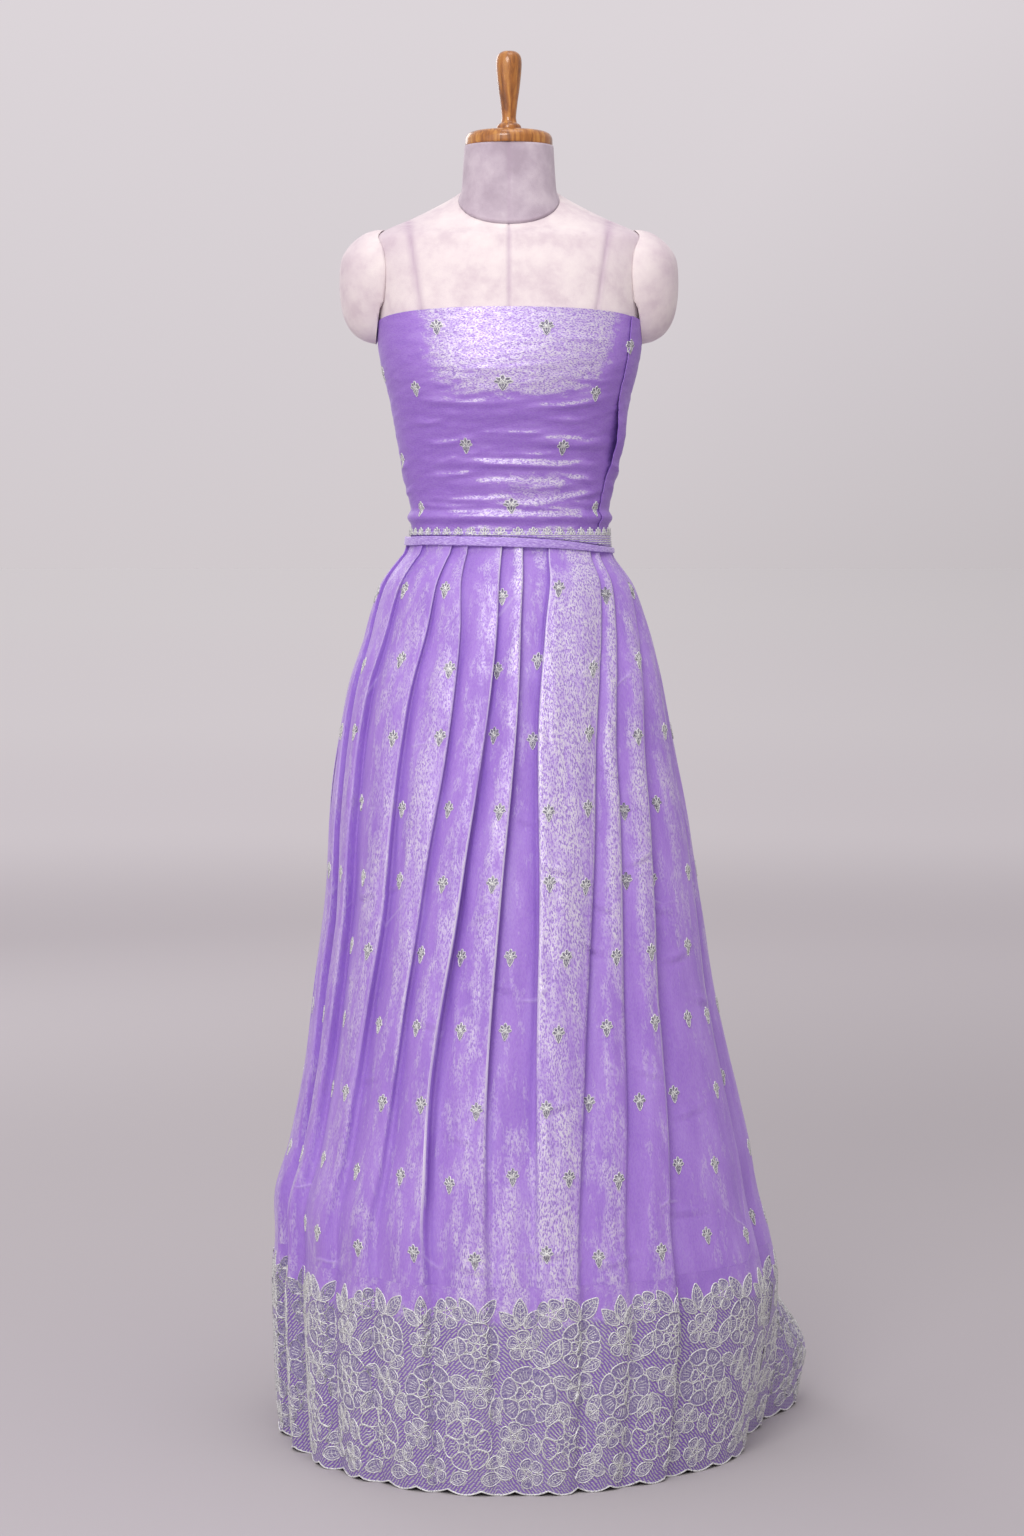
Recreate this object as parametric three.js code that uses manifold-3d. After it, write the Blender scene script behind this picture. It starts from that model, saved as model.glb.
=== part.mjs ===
// A lehenga dressed on a limbless dress form: a strapless wrapped bodice with an embroidered lower
// edge, a plain waistband, and a pleated floor-length skirt whose lower part is an embroidered border
// with a scalloped hem. Millimetres, +Z up, the front faces -Y, and the origin is on the floor at the
// middle of the stand's foot. Angles round the figure run from the front (0) over its left-hand
// side in the view from the front, +X (90), to the back (180).

import * as THREE from "three";
import Module from "manifold-3d";

const wasm = await Module();
wasm.setup();

// Driving sizes
const FLOOR_Z = 0;
const BORDER_TOP_Z = 232; // the embroidered border starts here
const WAIST_Z = 1060; // about the middle of the waistband
const BODICE_TOP_SIDE_Z = 1307;
const BODICE_TOP_RISE = 27; // the top edge is this much higher at the front
const SEAM_GAP = 0.3;
const SKIRT_CLOTH = 1.2; // two layers of organza and their lining
const BORDER_CLOTH = 1.6; // the same with its embroidery
const BODICE_CLOTH = 1.3;
const BODICE_CLEARANCE = 0.65; // from the form to the inside of the bodice
const RING_COLUMNS = 36; // points round the form and the bodice

// The form's sections from its lower edge to the neck seam. tilt lowers the front of a section and
// raises its back.
const FORM_SECTIONS = [
  { z: 792, half: 148, front: 98, back: 106, tilt: 0 },
  { z: 804, half: 158, front: 106, back: 115, tilt: 0 },
  { z: 860, half: 168, front: 112, back: 124, tilt: 0 },
  { z: 930, half: 158, front: 104, back: 116, tilt: 0 },
  { z: 990, half: 138, front: 94, back: 104, tilt: 0 },
  { z: 1040, half: 119, front: 86, back: 90, tilt: 0 },
  { z: 1075, half: 114, front: 83, back: 85, tilt: 0 },
  { z: 1102, half: 114, front: 84, back: 86, tilt: 0 },
  { z: 1126, half: 119, front: 88, back: 88, tilt: 0 },
  { z: 1160, half: 126, front: 96, back: 90, tilt: 0 },
  { z: 1205, half: 134, front: 109, back: 93, tilt: 0 },
  { z: 1237, half: 140, front: 119, back: 95, tilt: 0 },
  { z: 1264, half: 147, front: 122, back: 98, tilt: 0 },
  { z: 1290, half: 152, front: 119, back: 100, tilt: 0 },
  { z: 1305, half: 153.5, front: 115, back: 101, tilt: 0 },
  { z: 1345, half: 158, front: 103, back: 101, tilt: 0 },
  { z: 1385, half: 164, front: 89, back: 99, tilt: 0 },
  { z: 1408, half: 166, front: 78, back: 94, tilt: 0 },
  { z: 1422, half: 161, front: 72, back: 89, tilt: 2 },
  { z: 1433, half: 142, front: 66, back: 83, tilt: 8 },
  { z: 1443, half: 118, front: 62, back: 78, tilt: 16 },
  { z: 1453, half: 92, front: 58, back: 72, tilt: 24 },
  { z: 1461, half: 71, front: 56, back: 67, tilt: 30 },
  { z: 1466, half: 60, front: 55, back: 64, tilt: 33 },
];
const FORM_SQUARENESS = 0.9; // 1 is a plain oval, less is squarer

const NECK_SECTIONS = [
  { z: 1466.45, half: 60, front: 55, back: 64, tilt: 33 },
  { z: 1475, half: 56.5, front: 52, back: 58, tilt: 22 },
  { z: 1495, half: 54.6, front: 50, back: 56, tilt: 9 },
  { z: 1529, half: 52.5, front: 49, back: 53, tilt: 0 },
];

// The stuffed shoulder pads, from the lower tip to the top. out is how far a section reaches from
// the form's middle plane, and deep is half its depth from front to back.
const PAD_CENTRE_X = 152;
const PAD_SECTIONS = [
  { z: 1297.5, out: 156, deep: 6 },
  { z: 1301, out: 170, deep: 17 },
  { z: 1310, out: 184, deep: 29 },
  { z: 1326, out: 194, deep: 40 },
  { z: 1348, out: 199, deep: 48 },
  { z: 1374, out: 200, deep: 51 },
  { z: 1397, out: 197.5, deep: 47 },
  { z: 1411, out: 189.5, deep: 39 },
  { z: 1421, out: 179, deep: 29 },
  { z: 1428, out: 168, deep: 17 },
  { z: 1431, out: 158, deep: 7 },
];
const PAD_COLUMNS = 20;
const PAD_GAP = 0.7;
const PAD_STEP_Z = 1341; // below this the pad hangs outside the bodice

// Turned wood, as radius and height
const CAP_RADIUS = 51.4;
const CAP_FOOT_Z = 1529.3;
const CAP_THICKNESS = 16.7;
const CAP_EDGE = 10; // its rounded upper edge
const KNOB_TOP_Z = 1640.5;
const KNOB_PROFILE = [
  { r: 14.4, z: 1546.3 },
  { r: 14.4, z: 1554.5 },
  { r: 9.6, z: 1558.5 },
  { r: 8.4, z: 1562 },
  { r: 10.2, z: 1580 },
  { r: 12.6, z: 1597 },
  { r: 14.8, z: 1618 },
  { r: 14.8, z: 1630 },
  { r: 12, z: 1637 },
  { r: 6.5, z: 1640 },
];
const TURNED_SEGMENTS = 24;

const FOOT_RADIUS = 150;
const FOOT_THICKNESS = 12;
const POLE_RADIUS = 14;
const SOCKET_RADIUS = 24;
const SOCKET_HEIGHT = 40;
const PLATE_THICKNESS = 15;
const PLATE_INSET = 8; // how far the board under the form is set back from its edge

// The skirt's plan at each height: half widths left and right of the middle, and depths.
const SKIRT_SECTIONS = [
  { z: 0, left: 264, right: 282, front: 302, back: 345 },
  { z: 50, left: 267, right: 292, front: 301, back: 340 },
  { z: 100, left: 269, right: 303, front: 299, back: 334 },
  { z: 186, left: 271, right: 313, front: 293, back: 322 },
  { z: 234, left: 268, right: 305, front: 288, back: 315 },
  { z: 290, left: 268, right: 290, front: 279, back: 304 },
  { z: 353, left: 249, right: 278, front: 268, back: 290 },
  { z: 448, left: 232, right: 256, front: 248, back: 267 },
  { z: 543, left: 221, right: 236, front: 228, back: 244 },
  { z: 638, left: 210, right: 222, front: 208, back: 222 },
  { z: 734, left: 205, right: 208, front: 187, back: 200 },
  { z: 829, left: 195, right: 190, front: 165, back: 177 },
  { z: 900, left: 183, right: 178, front: 147, back: 158 },
  { z: 948, left: 168, right: 167, front: 132, back: 143 },
  { z: 995, left: 156, right: 152, front: 117, back: 124 },
  { z: 1019, left: 147, right: 142, front: 108, back: 111 },
  { z: 1043, left: 130, right: 125, front: 95, back: 98 },
  { z: 1050, left: 124, right: 121.8, front: 90.4, back: 93.4 },
  { z: 1058, left: 120.8, right: 120, front: 88, back: 91 },
  { z: 1068, left: 118.9, right: 118.9, front: 87.2, back: 90 },
];
const ROUND_BELOW_Z = 960; // the skirt is a plain oval up to here, and as square as the form at the waist

// The pleats. Each is stitched at the waist and runs down the skirt as a fold whose edge faces right
// (1) or left (-1). turn is where it lies at each of FOLD_HEIGHTS, in degrees, deep is half the step
// from the fold to the cloth beside it at each of DEPTH_HEIGHTS, and soft is half its width at the hem.
const FOLD_HEIGHTS = [0, 234, 448, 638, 876, 1060];
const DEPTH_HEIGHTS = [0, 234, 520, 820, 1060];
const FOLDS = [
  { faces: 1, turn: [-80, -80, -80, -80, -82, -84], deep: [9, 9, 7, 5, 1.9], soft: 9 },
  { faces: 1, turn: [-66, -67, -66, -63, -62, -55], deep: [8, 8, 7, 6, 1.9], soft: 10 },
  { faces: 1, turn: [-50, -50, -48, -43, -38, -31], deep: [6, 6, 6, 5, 1.9], soft: 10 },
  { faces: 1, turn: [-36, -36, -34, -29, -20, -21], deep: [5, 5, 5, 4, 1.9], soft: 9 },
  { faces: 1, turn: [-19, -20, -22, -16, -7, -3], deep: [3, 6, 8, 6, 1.9], soft: 5 },
  { faces: 1, turn: [-4, -5, -6, -3, 3, 6], deep: [2, 4, 7, 9, 1.9], soft: 6 },
  { faces: -1, turn: [6, 6, 7, 9, 11, 20.5], deep: [2, 4, 7, 9, 1.9], soft: 8 },
  { faces: 1, turn: [15, 15, 19, 24.5, 33.5, 49.5], deep: [3, 5, 6, 4, 1.9], soft: 6 },
  { faces: 1, turn: [26, 26, 31, 35, 42, 58.5], deep: [3, 3, 4, 4, 1.9], soft: 9 },
  { faces: 1, turn: [39, 38, 43, 47, 56, 78], deep: [5, 6, 8, 7, 1.9], soft: 6 },
  { faces: 1, turn: [71, 70, 71, 73, 77, 94], deep: [13, 9, 8, 6, 1.9], soft: 9 },
  { faces: 1, turn: [90, 90, 92, 94, 98, 110], deep: [9, 9, 8, 5, 1.9], soft: 10 },
  { faces: 1, turn: [107, 108, 110, 111, 115, 127], deep: [11, 11, 9, 6, 1.9], soft: 10 },
  { faces: 1, turn: [129, 128, 127, 127, 131, 143], deep: [12, 11, 9, 6, 1.9], soft: 11 },
  { faces: 1, turn: [146, 146, 146, 147, 150, 159], deep: [10, 10, 8, 6, 1.9], soft: 10 },
  { faces: 1, turn: [166, 166, 165, 165, 166, 173], deep: [12, 11, 9, 7, 1.9], soft: 11 },
  { faces: -1, turn: [187, 186, 185, 185, 186, 191], deep: [12, 11, 9, 7, 1.9], soft: 11 },
  { faces: -1, turn: [205, 205, 204, 204, 204, 208], deep: [10, 10, 8, 6, 1.9], soft: 10 },
  { faces: -1, turn: [224, 224, 223, 222, 221, 224], deep: [12, 11, 9, 6, 1.9], soft: 11 },
  { faces: -1, turn: [243, 243, 242, 241, 240, 241], deep: [11, 10, 8, 6, 1.9], soft: 10 },
  { faces: -1, turn: [262, 262, 262, 261, 259, 258], deep: [9, 9, 8, 5, 1.9], soft: 10 },
];
const STEP_SHARE = 0.07; // share of the way to the next fold that a fold's own step takes
const WAIST_STEP = 1.3; // half the width of a step at the waist
const BELLY_SHARE = 0.05; // how far the cloth between two folds rounds out, for its width
const COLUMNS_PER_FOLD = 5;

// Where the hem is pushed out over the floor: middle and half spread in degrees, how far out, and
// the height at which that starts.
const TRAILS = [
  { middle: 114, spread: 34, out: 88, rise: 185 },
  { middle: 238, spread: 26, out: 24, rise: 380 },
  { middle: 165, spread: 30, out: 26, rise: 200 },
];
const FULL_TRAIL_SHARE = 0.3; // the trail is at its widest from this share of its rise down

// The seams at the sides, counted in folds
const LEFT_SEAM = -0.5;
const RIGHT_SEAM = 10.5;

const SCALLOP_PITCH = 40;
const SCALLOP_DEPTH = 5;
const COLUMNS_PER_SCALLOP = 4;
const SKIRT_ROWS = [BORDER_TOP_Z + SEAM_GAP, 320, 420, 520, 620, 720, 815, 890, 950, 1003];
const BORDER_ROWS = [60, 140];

// The bodice's largest creases and rolls, pulled round by the wrapping: middle in degrees, half
// spread, height there, how much it rises for each degree, how far out, and half its width.
const WRAP_FOLDS = [
  { middle: 0, spread: 400, z: 1093, rise: 0, out: 4.6, half: 10 },
  { middle: 20, spread: 70, z: 1108, rise: 0.03, out: 2.6, half: 9 },
  { middle: 8, spread: 60, z: 1131, rise: -0.02, out: 2.4, half: 9 },
  { middle: 5, spread: 70, z: 1154, rise: -0.06, out: 2.8, half: 9 },
  { middle: 30, spread: 50, z: 1180, rise: -0.1, out: 2.6, half: 10 },
  { middle: -5, spread: 45, z: 1211, rise: 0.05, out: 1.4, half: 10 },
  { middle: 180, spread: 80, z: 1122, rise: 0, out: 2.6, half: 10 },
  { middle: 175, spread: 70, z: 1158, rise: 0.05, out: 2.6, half: 11 },
  { middle: 190, spread: 60, z: 1204, rise: -0.05, out: 2, half: 12 },
  { middle: 262, spread: 40, z: 1140, rise: 0.08, out: 2, half: 12 },
  { middle: 92, spread: 34, z: 1146, rise: -0.1, out: 2.6, half: 12 },
];
const WRAP_ROWS = [
  1075, 1083, 1093, 1102, 1113, 1126, 1134, 1145, 1154, 1160, 1175, 1190, 1205, 1222, 1237, 1264,
  1290, 1305,
];
const WRAP_FRONT = { from: -90, to: 90 };
const WRAP_BACK = { from: 63, to: 270 }; // its free end lies over the front piece
const OVERLAP_RISE = 15; // degrees over which the trim comes up on to the overlap
const OVERLAP_FADE = 18; // degrees over which the back piece comes off the front one

// The waistband is highest on the left and dips to the right, and the trim fills in above it.
const WAISTBAND = { cloth: 1.5, out: 7.6, topZ: 1072, topDip: 14, footZ: 1059.5, footDip: 9 };
const TRIM = { cloth: 0.9, topZ: 1082.5, scallop: 4, pitch: 17 };

const radians = THREE.MathUtils.degToRad;
const smooth = (x) => THREE.MathUtils.smoothstep(x, 0, 1);
const bump = (x) => (Math.abs(x) < 1 ? Math.cos((x * Math.PI) / 2) ** 2 : 0);

// Reads a table of rising heights at any height, along a curve that keeps its slope at each row.
function alongTable(heights, values, z) {
  const last = heights.length - 1;
  if (z <= heights[0]) return values[0];
  if (z >= heights[last]) return values[last];
  const k = heights.findIndex((h, n) => n < last && z < heights[n + 1]);
  const slope = (a, b) => (values[b] - values[a]) / (heights[b] - heights[a]);
  const at = (n) => slope(Math.max(n - 1, 0), Math.min(n + 1, last));
  const run = heights[k + 1] - heights[k];
  const u = (z - heights[k]) / run;
  return (
    values[k] * (1 + 2 * u) * (1 - u) ** 2 +
    values[k + 1] * u * u * (3 - 2 * u) +
    at(k) * run * u * (1 - u) ** 2 -
    at(k + 1) * run * u * u * (1 - u)
  );
}

function columnOf(table, name, z) {
  return alongTable(
    table.map((row) => row.z),
    table.map((row) => row[name]),
    z,
  );
}

// A point on an oval with a squareness, at a turn in degrees from the front.
function ovalPoint(left, right, front, back, turn, squareness, z) {
  const across = Math.sin(radians(turn));
  const ahead = Math.cos(radians(turn));
  const eased = (v) => Math.sign(v) * Math.abs(v) ** squareness;
  return new THREE.Vector3(
    eased(across) * (across < 0 ? left : right),
    -eased(ahead) * (ahead < 0 ? back : front),
    z,
  );
}

function sectionRing(section, count, squareness) {
  const { half, front, back, tilt, z } = section;
  return Array.from({ length: count }, (_, n) => {
    const turn = (360 * n) / count;
    const p = ovalPoint(half, half, front, back, turn, squareness, z);
    p.z -= tilt * Math.cos(radians(turn));
    return p;
  });
}

// Moves each point of a level run of points sideways, towards its outside by a positive distance,
// with the corners mitred. distance is a number or a function of the point's place in the run.
function moveOut(points, distance, isRing) {
  const count = points.length;
  const distanceAt = typeof distance === "function" ? distance : () => distance;
  const facing = (a, b) => new THREE.Vector2(b.y - a.y, a.x - b.x).normalize();
  return points.map((p, n) => {
    const before = isRing ? points[(n + count - 1) % count] : points[Math.max(n - 1, 0)];
    const after = isRing ? points[(n + 1) % count] : points[Math.min(n + 1, count - 1)];
    const first = before === p ? facing(p, after) : facing(before, p);
    const second = after === p ? first : facing(p, after);
    const middle = first.clone().add(second).normalize();
    const mitre = Math.min(1 / Math.max(middle.dot(first), 0.5), 1.6);
    const move = distanceAt(n) * mitre;
    return new THREE.Vector3(p.x + middle.x * move, p.y + middle.y * move, p.z);
  });
}

function geometryOf(points, faces) {
  const geometry = new THREE.BufferGeometry();
  geometry.setAttribute("position", new THREE.Float32BufferAttribute(points.flatMap((p) => p.toArray()), 3));
  geometry.setIndex(faces);
  return geometry;
}

// A closed wall between an outer and an inner grid of points, rows from the foot up and columns in
// the direction of the turn.
function wallGeometry(outer, inner, isRing) {
  const rows = outer.length;
  const columns = outer[0].length;
  const at = (layer, row, column) => (layer * rows + row) * columns + (column % columns);
  const faces = [];
  const quad = (a, b, c, d) => faces.push(a, b, c, a, c, d);
  const runs = isRing ? columns : columns - 1;
  const top = rows - 1;
  for (let c = 0; c < runs; c++) {
    for (let r = 0; r < top; r++) {
      quad(at(0, r, c), at(0, r, c + 1), at(0, r + 1, c + 1), at(0, r + 1, c));
      quad(at(1, r, c), at(1, r + 1, c), at(1, r + 1, c + 1), at(1, r, c + 1));
    }
    quad(at(1, 0, c), at(1, 0, c + 1), at(0, 0, c + 1), at(0, 0, c));
    quad(at(0, top, c), at(0, top, c + 1), at(1, top, c + 1), at(1, top, c));
  }
  if (!isRing) {
    for (let r = 0; r < top; r++) {
      quad(at(1, r, 0), at(0, r, 0), at(0, r + 1, 0), at(1, r + 1, 0));
      quad(at(0, r, runs), at(1, r, runs), at(1, r + 1, runs), at(0, r + 1, runs));
    }
  }
  return geometryOf([...outer.flat(), ...inner.flat()], faces);
}

// A solid through closed rings from the lowest to the highest, with both ends closed.
function loftGeometry(rings) {
  const count = rings[0].length;
  const middleOf = (ring) =>
    ring.reduce((sum, p) => sum.add(p), new THREE.Vector3()).divideScalar(count);
  const faces = [];
  rings.slice(1).forEach((_, r) => {
    for (let n = 0; n < count; n++) {
      const [a, b] = [r * count + n, r * count + ((n + 1) % count)];
      faces.push(a, b, b + count, a, b + count, a + count);
    }
  });
  const foot = rings.length * count;
  const topStart = foot - count;
  for (let n = 0; n < count; n++) {
    const next = (n + 1) % count;
    faces.push(foot, next, n, foot + 1, topStart + n, topStart + next);
  }
  return geometryOf([...rings.flat(), middleOf(rings[0]), middleOf(rings.at(-1))], faces);
}

function turnedGeometry(profile) {
  const closed = [
    new THREE.Vector2(0, profile[0].z),
    ...profile.map(({ r, z }) => new THREE.Vector2(r, z)),
    new THREE.Vector2(0, profile.at(-1).z),
  ];
  return new THREE.LatheGeometry(closed, TURNED_SEGMENTS).rotateX(Math.PI / 2);
}

function cutAway(geometry, cutter) {
  const solid = (g) =>
    new wasm.Manifold(
      new wasm.Mesh({
        numProp: 3,
        vertProperties: g.getAttribute("position").array,
        triVerts: new Uint32Array(g.index.array),
      }),
    );
  const left = solid(geometry).subtract(solid(cutter)).getMesh();
  const made = new THREE.BufferGeometry();
  made.setAttribute("position", new THREE.BufferAttribute(left.vertProperties, 3));
  made.setIndex(new THREE.BufferAttribute(left.triVerts, 1));
  return made;
}

const finishes = {
  organza: { color: "#b491e3", roughness: 0.4, metalness: 0.3 },
  embroidery: { color: "#b9b6c8", roughness: 0.45, metalness: 0.4 },
  band: { color: "#b592e0", roughness: 0.5, metalness: 0.1 },
  formCloth: { color: "#e3d6dc", roughness: 0.9, metalness: 0 },
  wood: { color: "#a9652a", roughness: 0.3, metalness: 0 },
  metal: { color: "#3b3b3e", roughness: 0.4, metalness: 0.8 },
};

const lehenga = new THREE.Group();
function add(name, geometry, finish) {
  const mesh = new THREE.Mesh(geometry, new THREE.MeshStandardMaterial(finishes[finish]));
  mesh.name = name;
  lehenga.add(mesh);
}

// The form

const formRings = FORM_SECTIONS.map((s) => sectionRing(s, RING_COLUMNS, FORM_SQUARENESS));

// The form's own surface at a height and a turn, on its flat triangles.
function formPoint(turn, z) {
  const n = FORM_SECTIONS.findIndex((s, k) => z <= FORM_SECTIONS[k + 1].z);
  const up = (z - FORM_SECTIONS[n].z) / (FORM_SECTIONS[n + 1].z - FORM_SECTIONS[n].z);
  const column = ((((turn / 360) * RING_COLUMNS) % RING_COLUMNS) + RING_COLUMNS) % RING_COLUMNS;
  const c = Math.floor(column + 1e-9);
  const along = Math.max(column - c, 0);
  const [low, high] = [formRings[n], formRings[n + 1]];
  const [a, b] = [low[c % RING_COLUMNS], low[(c + 1) % RING_COLUMNS]];
  const [d, e] = [high[c % RING_COLUMNS], high[(c + 1) % RING_COLUMNS]];
  const p = a.clone();
  if (along > up) p.addScaledVector(b, along - up).addScaledVector(e, up).addScaledVector(a, -along);
  else p.addScaledVector(d, up - along).addScaledVector(e, along).addScaledVector(a, -up);
  p.z = z;
  return p;
}

const ringTurns = Array.from({ length: RING_COLUMNS }, (_, n) => (360 * n) / RING_COLUMNS);
const formRing = (z) => ringTurns.map((turn) => formPoint(turn, z));

function addForm() {
  add("form_torso", loftGeometry(formRings), "formCloth");
  const neckRings = NECK_SECTIONS.map((s) => sectionRing(s, RING_COLUMNS, FORM_SQUARENESS));
  add("form_neck", loftGeometry(neckRings), "formCloth");

  const besideBodice = BODICE_CLEARANCE + 2 * BODICE_CLOTH + 2 * SEAM_GAP + PAD_GAP;
  const cutterRows = [
    { z: 1264, out: besideBodice },
    { z: 1290, out: besideBodice },
    { z: 1305, out: besideBodice },
    { z: PAD_STEP_Z - 1, out: besideBodice },
    { z: PAD_STEP_Z + 1, out: PAD_GAP },
    { z: 1345, out: PAD_GAP },
    { z: 1385, out: PAD_GAP },
    { z: 1408, out: PAD_GAP },
  ];
  const above = FORM_SECTIONS.findIndex((s) => s.z > 1408);
  const cutter = loftGeometry([
    ...cutterRows.map(({ z, out }) => moveOut(formRing(z), out, true)),
    ...formRings.slice(above).map((ring) => moveOut(ring, PAD_GAP, true)),
  ]);
  for (const [name, side] of [["form_pad_right", 1], ["form_pad_left", -1]]) {
    const rings = PAD_SECTIONS.map(({ z, out, deep }) =>
      Array.from({ length: PAD_COLUMNS }, (_, n) => {
        const turn = (2 * Math.PI * n) / PAD_COLUMNS;
        const x = side * PAD_CENTRE_X + Math.cos(turn) * (out - PAD_CENTRE_X);
        return new THREE.Vector3(x, Math.sin(turn) * deep, z);
      }),
    );
    add(name, cutAway(loftGeometry(rings), cutter), "formCloth");
  }
}

function addWood() {
  const edge = [0, 22.5, 45, 67.5, 90].map((turn) => ({
    r: CAP_RADIUS - CAP_EDGE + CAP_EDGE * Math.cos(radians(turn)),
    z: CAP_FOOT_Z + CAP_THICKNESS - CAP_EDGE + CAP_EDGE * Math.sin(radians(turn)),
  }));
  const foot = { r: CAP_RADIUS, z: CAP_FOOT_Z };
  add("neck_cap", turnedGeometry([foot, ...edge]), "wood");
  add("neck_knob", turnedGeometry([...KNOB_PROFILE, { r: 0.01, z: KNOB_TOP_Z }]), "wood");
}

function addStand() {
  const plateTop = FORM_SECTIONS[0].z - SEAM_GAP;
  const plateFoot = plateTop - PLATE_THICKNESS;
  const plateSection = {
    half: FORM_SECTIONS[0].half - PLATE_INSET,
    front: FORM_SECTIONS[0].front - PLATE_INSET,
    back: FORM_SECTIONS[0].back - PLATE_INSET,
    tilt: 0,
  };
  const plateRings = [plateFoot, plateTop].map((z) =>
    sectionRing({ ...plateSection, z }, RING_COLUMNS, FORM_SQUARENESS),
  );
  add("form_board", loftGeometry(plateRings), "wood");
  const poleTop = plateFoot - SEAM_GAP;
  const poleFoot = FOOT_THICKNESS + SEAM_GAP;
  const socketTop = poleFoot + SOCKET_HEIGHT;
  const pole = [
    { r: SOCKET_RADIUS, z: poleFoot },
    { r: SOCKET_RADIUS, z: socketTop },
    { r: POLE_RADIUS, z: socketTop + 4 },
    { r: POLE_RADIUS, z: poleTop - 6 },
    { r: SOCKET_RADIUS, z: poleTop - 3 },
    { r: SOCKET_RADIUS, z: poleTop },
  ];
  add("stand_pole", turnedGeometry(pole), "metal");
  const foot = [
    { r: FOOT_RADIUS, z: FLOOR_Z },
    { r: FOOT_RADIUS, z: FOOT_THICKNESS - 3 },
    { r: FOOT_RADIUS - 3, z: FOOT_THICKNESS },
  ];
  add("stand_foot", turnedGeometry(foot), "metal");
}

// Heights round the waist

const lean = (turn) => (1 + Math.sin(radians(turn))) / 2; // 0 on the left, 1 on the right
const bandTop = (turn) => WAISTBAND.topZ - WAISTBAND.topDip * lean(turn) ** 3;
const bandFoot = (turn) => WAISTBAND.footZ - WAISTBAND.footDip * lean(turn) ** 2;
const skirtTop = (turn) => (bandTop(turn) + bandFoot(turn)) / 2; // behind the band

// The skirt

// Where fold number n lies at a height, counted on past the ends of the table round the skirt.
function foldAt(n, z) {
  const laps = Math.floor(n / FOLDS.length);
  const fold = FOLDS[n - laps * FOLDS.length];
  return {
    faces: fold.faces,
    turn: alongTable(FOLD_HEIGHTS, fold.turn, z) + 360 * laps,
    deep: alongTable(DEPTH_HEIGHTS, fold.deep, z),
    half: THREE.MathUtils.lerp(fold.soft, WAIST_STEP, smooth(z / WAIST_Z) ** 0.5),
  };
}

// The hem's reach over the floor at a turn and a height.
function trailAt(turn, z) {
  return TRAILS.reduce((sum, { middle, spread, out, rise }) => {
    const away = ((((turn - middle + 180) % 360) + 360) % 360) - 180;
    const share = smooth((1 - z / rise) / (1 - FULL_TRAIL_SHARE));
    return sum + out * bump(away / spread) * (z < rise ? share : 0);
  }, 0);
}

// A point on the outside of the skirt, at a height and a place counted in folds: a whole number is
// the middle of that fold's step, and between two folds the cloth runs from one's foot to the
// other's top in an even, slightly rounded sweep.
function skirtPoint(place, z) {
  const n = Math.floor(place + STEP_SHARE);
  const past = place - n;
  const here = foldAt(n, z);
  const next = foldAt(n + 1, z);
  const section = (name) => columnOf(SKIRT_SECTIONS, name, z);
  const [left, right, front, back] = ["left", "right", "front", "back"].map(section);
  const nearWaist = smooth((z - ROUND_BELOW_Z) / (WAIST_Z - ROUND_BELOW_Z));
  const degreesPerMm = 360 / (Math.PI * (left + right + front + back) * 0.5);
  const hereHalf = here.half * degreesPerMm;
  const nextHalf = next.half * degreesPerMm;
  let turn, out;
  if (past < STEP_SHARE) {
    turn = here.turn + (past / STEP_SHARE) * hereHalf;
    out = -here.faces * here.deep * Math.sin((past / STEP_SHARE) * (Math.PI / 2));
  } else {
    const share = (past - STEP_SHARE) / (1 - 2 * STEP_SHARE);
    const from = here.turn + hereHalf;
    const to = next.turn - nextHalf;
    turn = THREE.MathUtils.lerp(from, to, share);
    const width = (to - from) / degreesPerMm;
    const belly = width * BELLY_SHARE * (1 - nearWaist) * Math.sin(share * Math.PI);
    const sweep = THREE.MathUtils.lerp(-here.faces * here.deep, next.faces * next.deep, smooth(share));
    out = sweep + belly;
  }
  const squareness = THREE.MathUtils.lerp(1, FORM_SQUARENESS, nearWaist);
  const p = ovalPoint(left, right, front, back, turn, squareness, z);
  const facing = new THREE.Vector2(
    Math.sin(radians(turn)) * (Math.cos(radians(turn)) < 0 ? back : front),
    -Math.cos(radians(turn)) * (Math.sin(radians(turn)) < 0 ? left : right),
  ).normalize();
  const reach = out + trailAt(turn, z);
  return new THREE.Vector3(p.x + facing.x * reach, p.y + facing.y * reach, z);
}

// The places of a panel's columns: the ends of each fold's step and even shares between them.
function foldColumns(from, to) {
  const places = [];
  const between = COLUMNS_PER_FOLD - 1;
  for (let n = Math.floor(from) - 1; n <= Math.ceil(to) + 1; n++) {
    places.push(n - STEP_SHARE);
    for (let k = 0; k < between; k++) {
      places.push(n + STEP_SHARE + ((1 - 2 * STEP_SHARE) * k) / between);
    }
  }
  return [from, ...places.filter((p) => p > from + 0.05 && p < to - 0.05), to];
}

const SIDES = [
  { name: "front", from: LEFT_SEAM, to: RIGHT_SEAM },
  { name: "back", from: RIGHT_SEAM, to: LEFT_SEAM + FOLDS.length },
];

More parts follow.
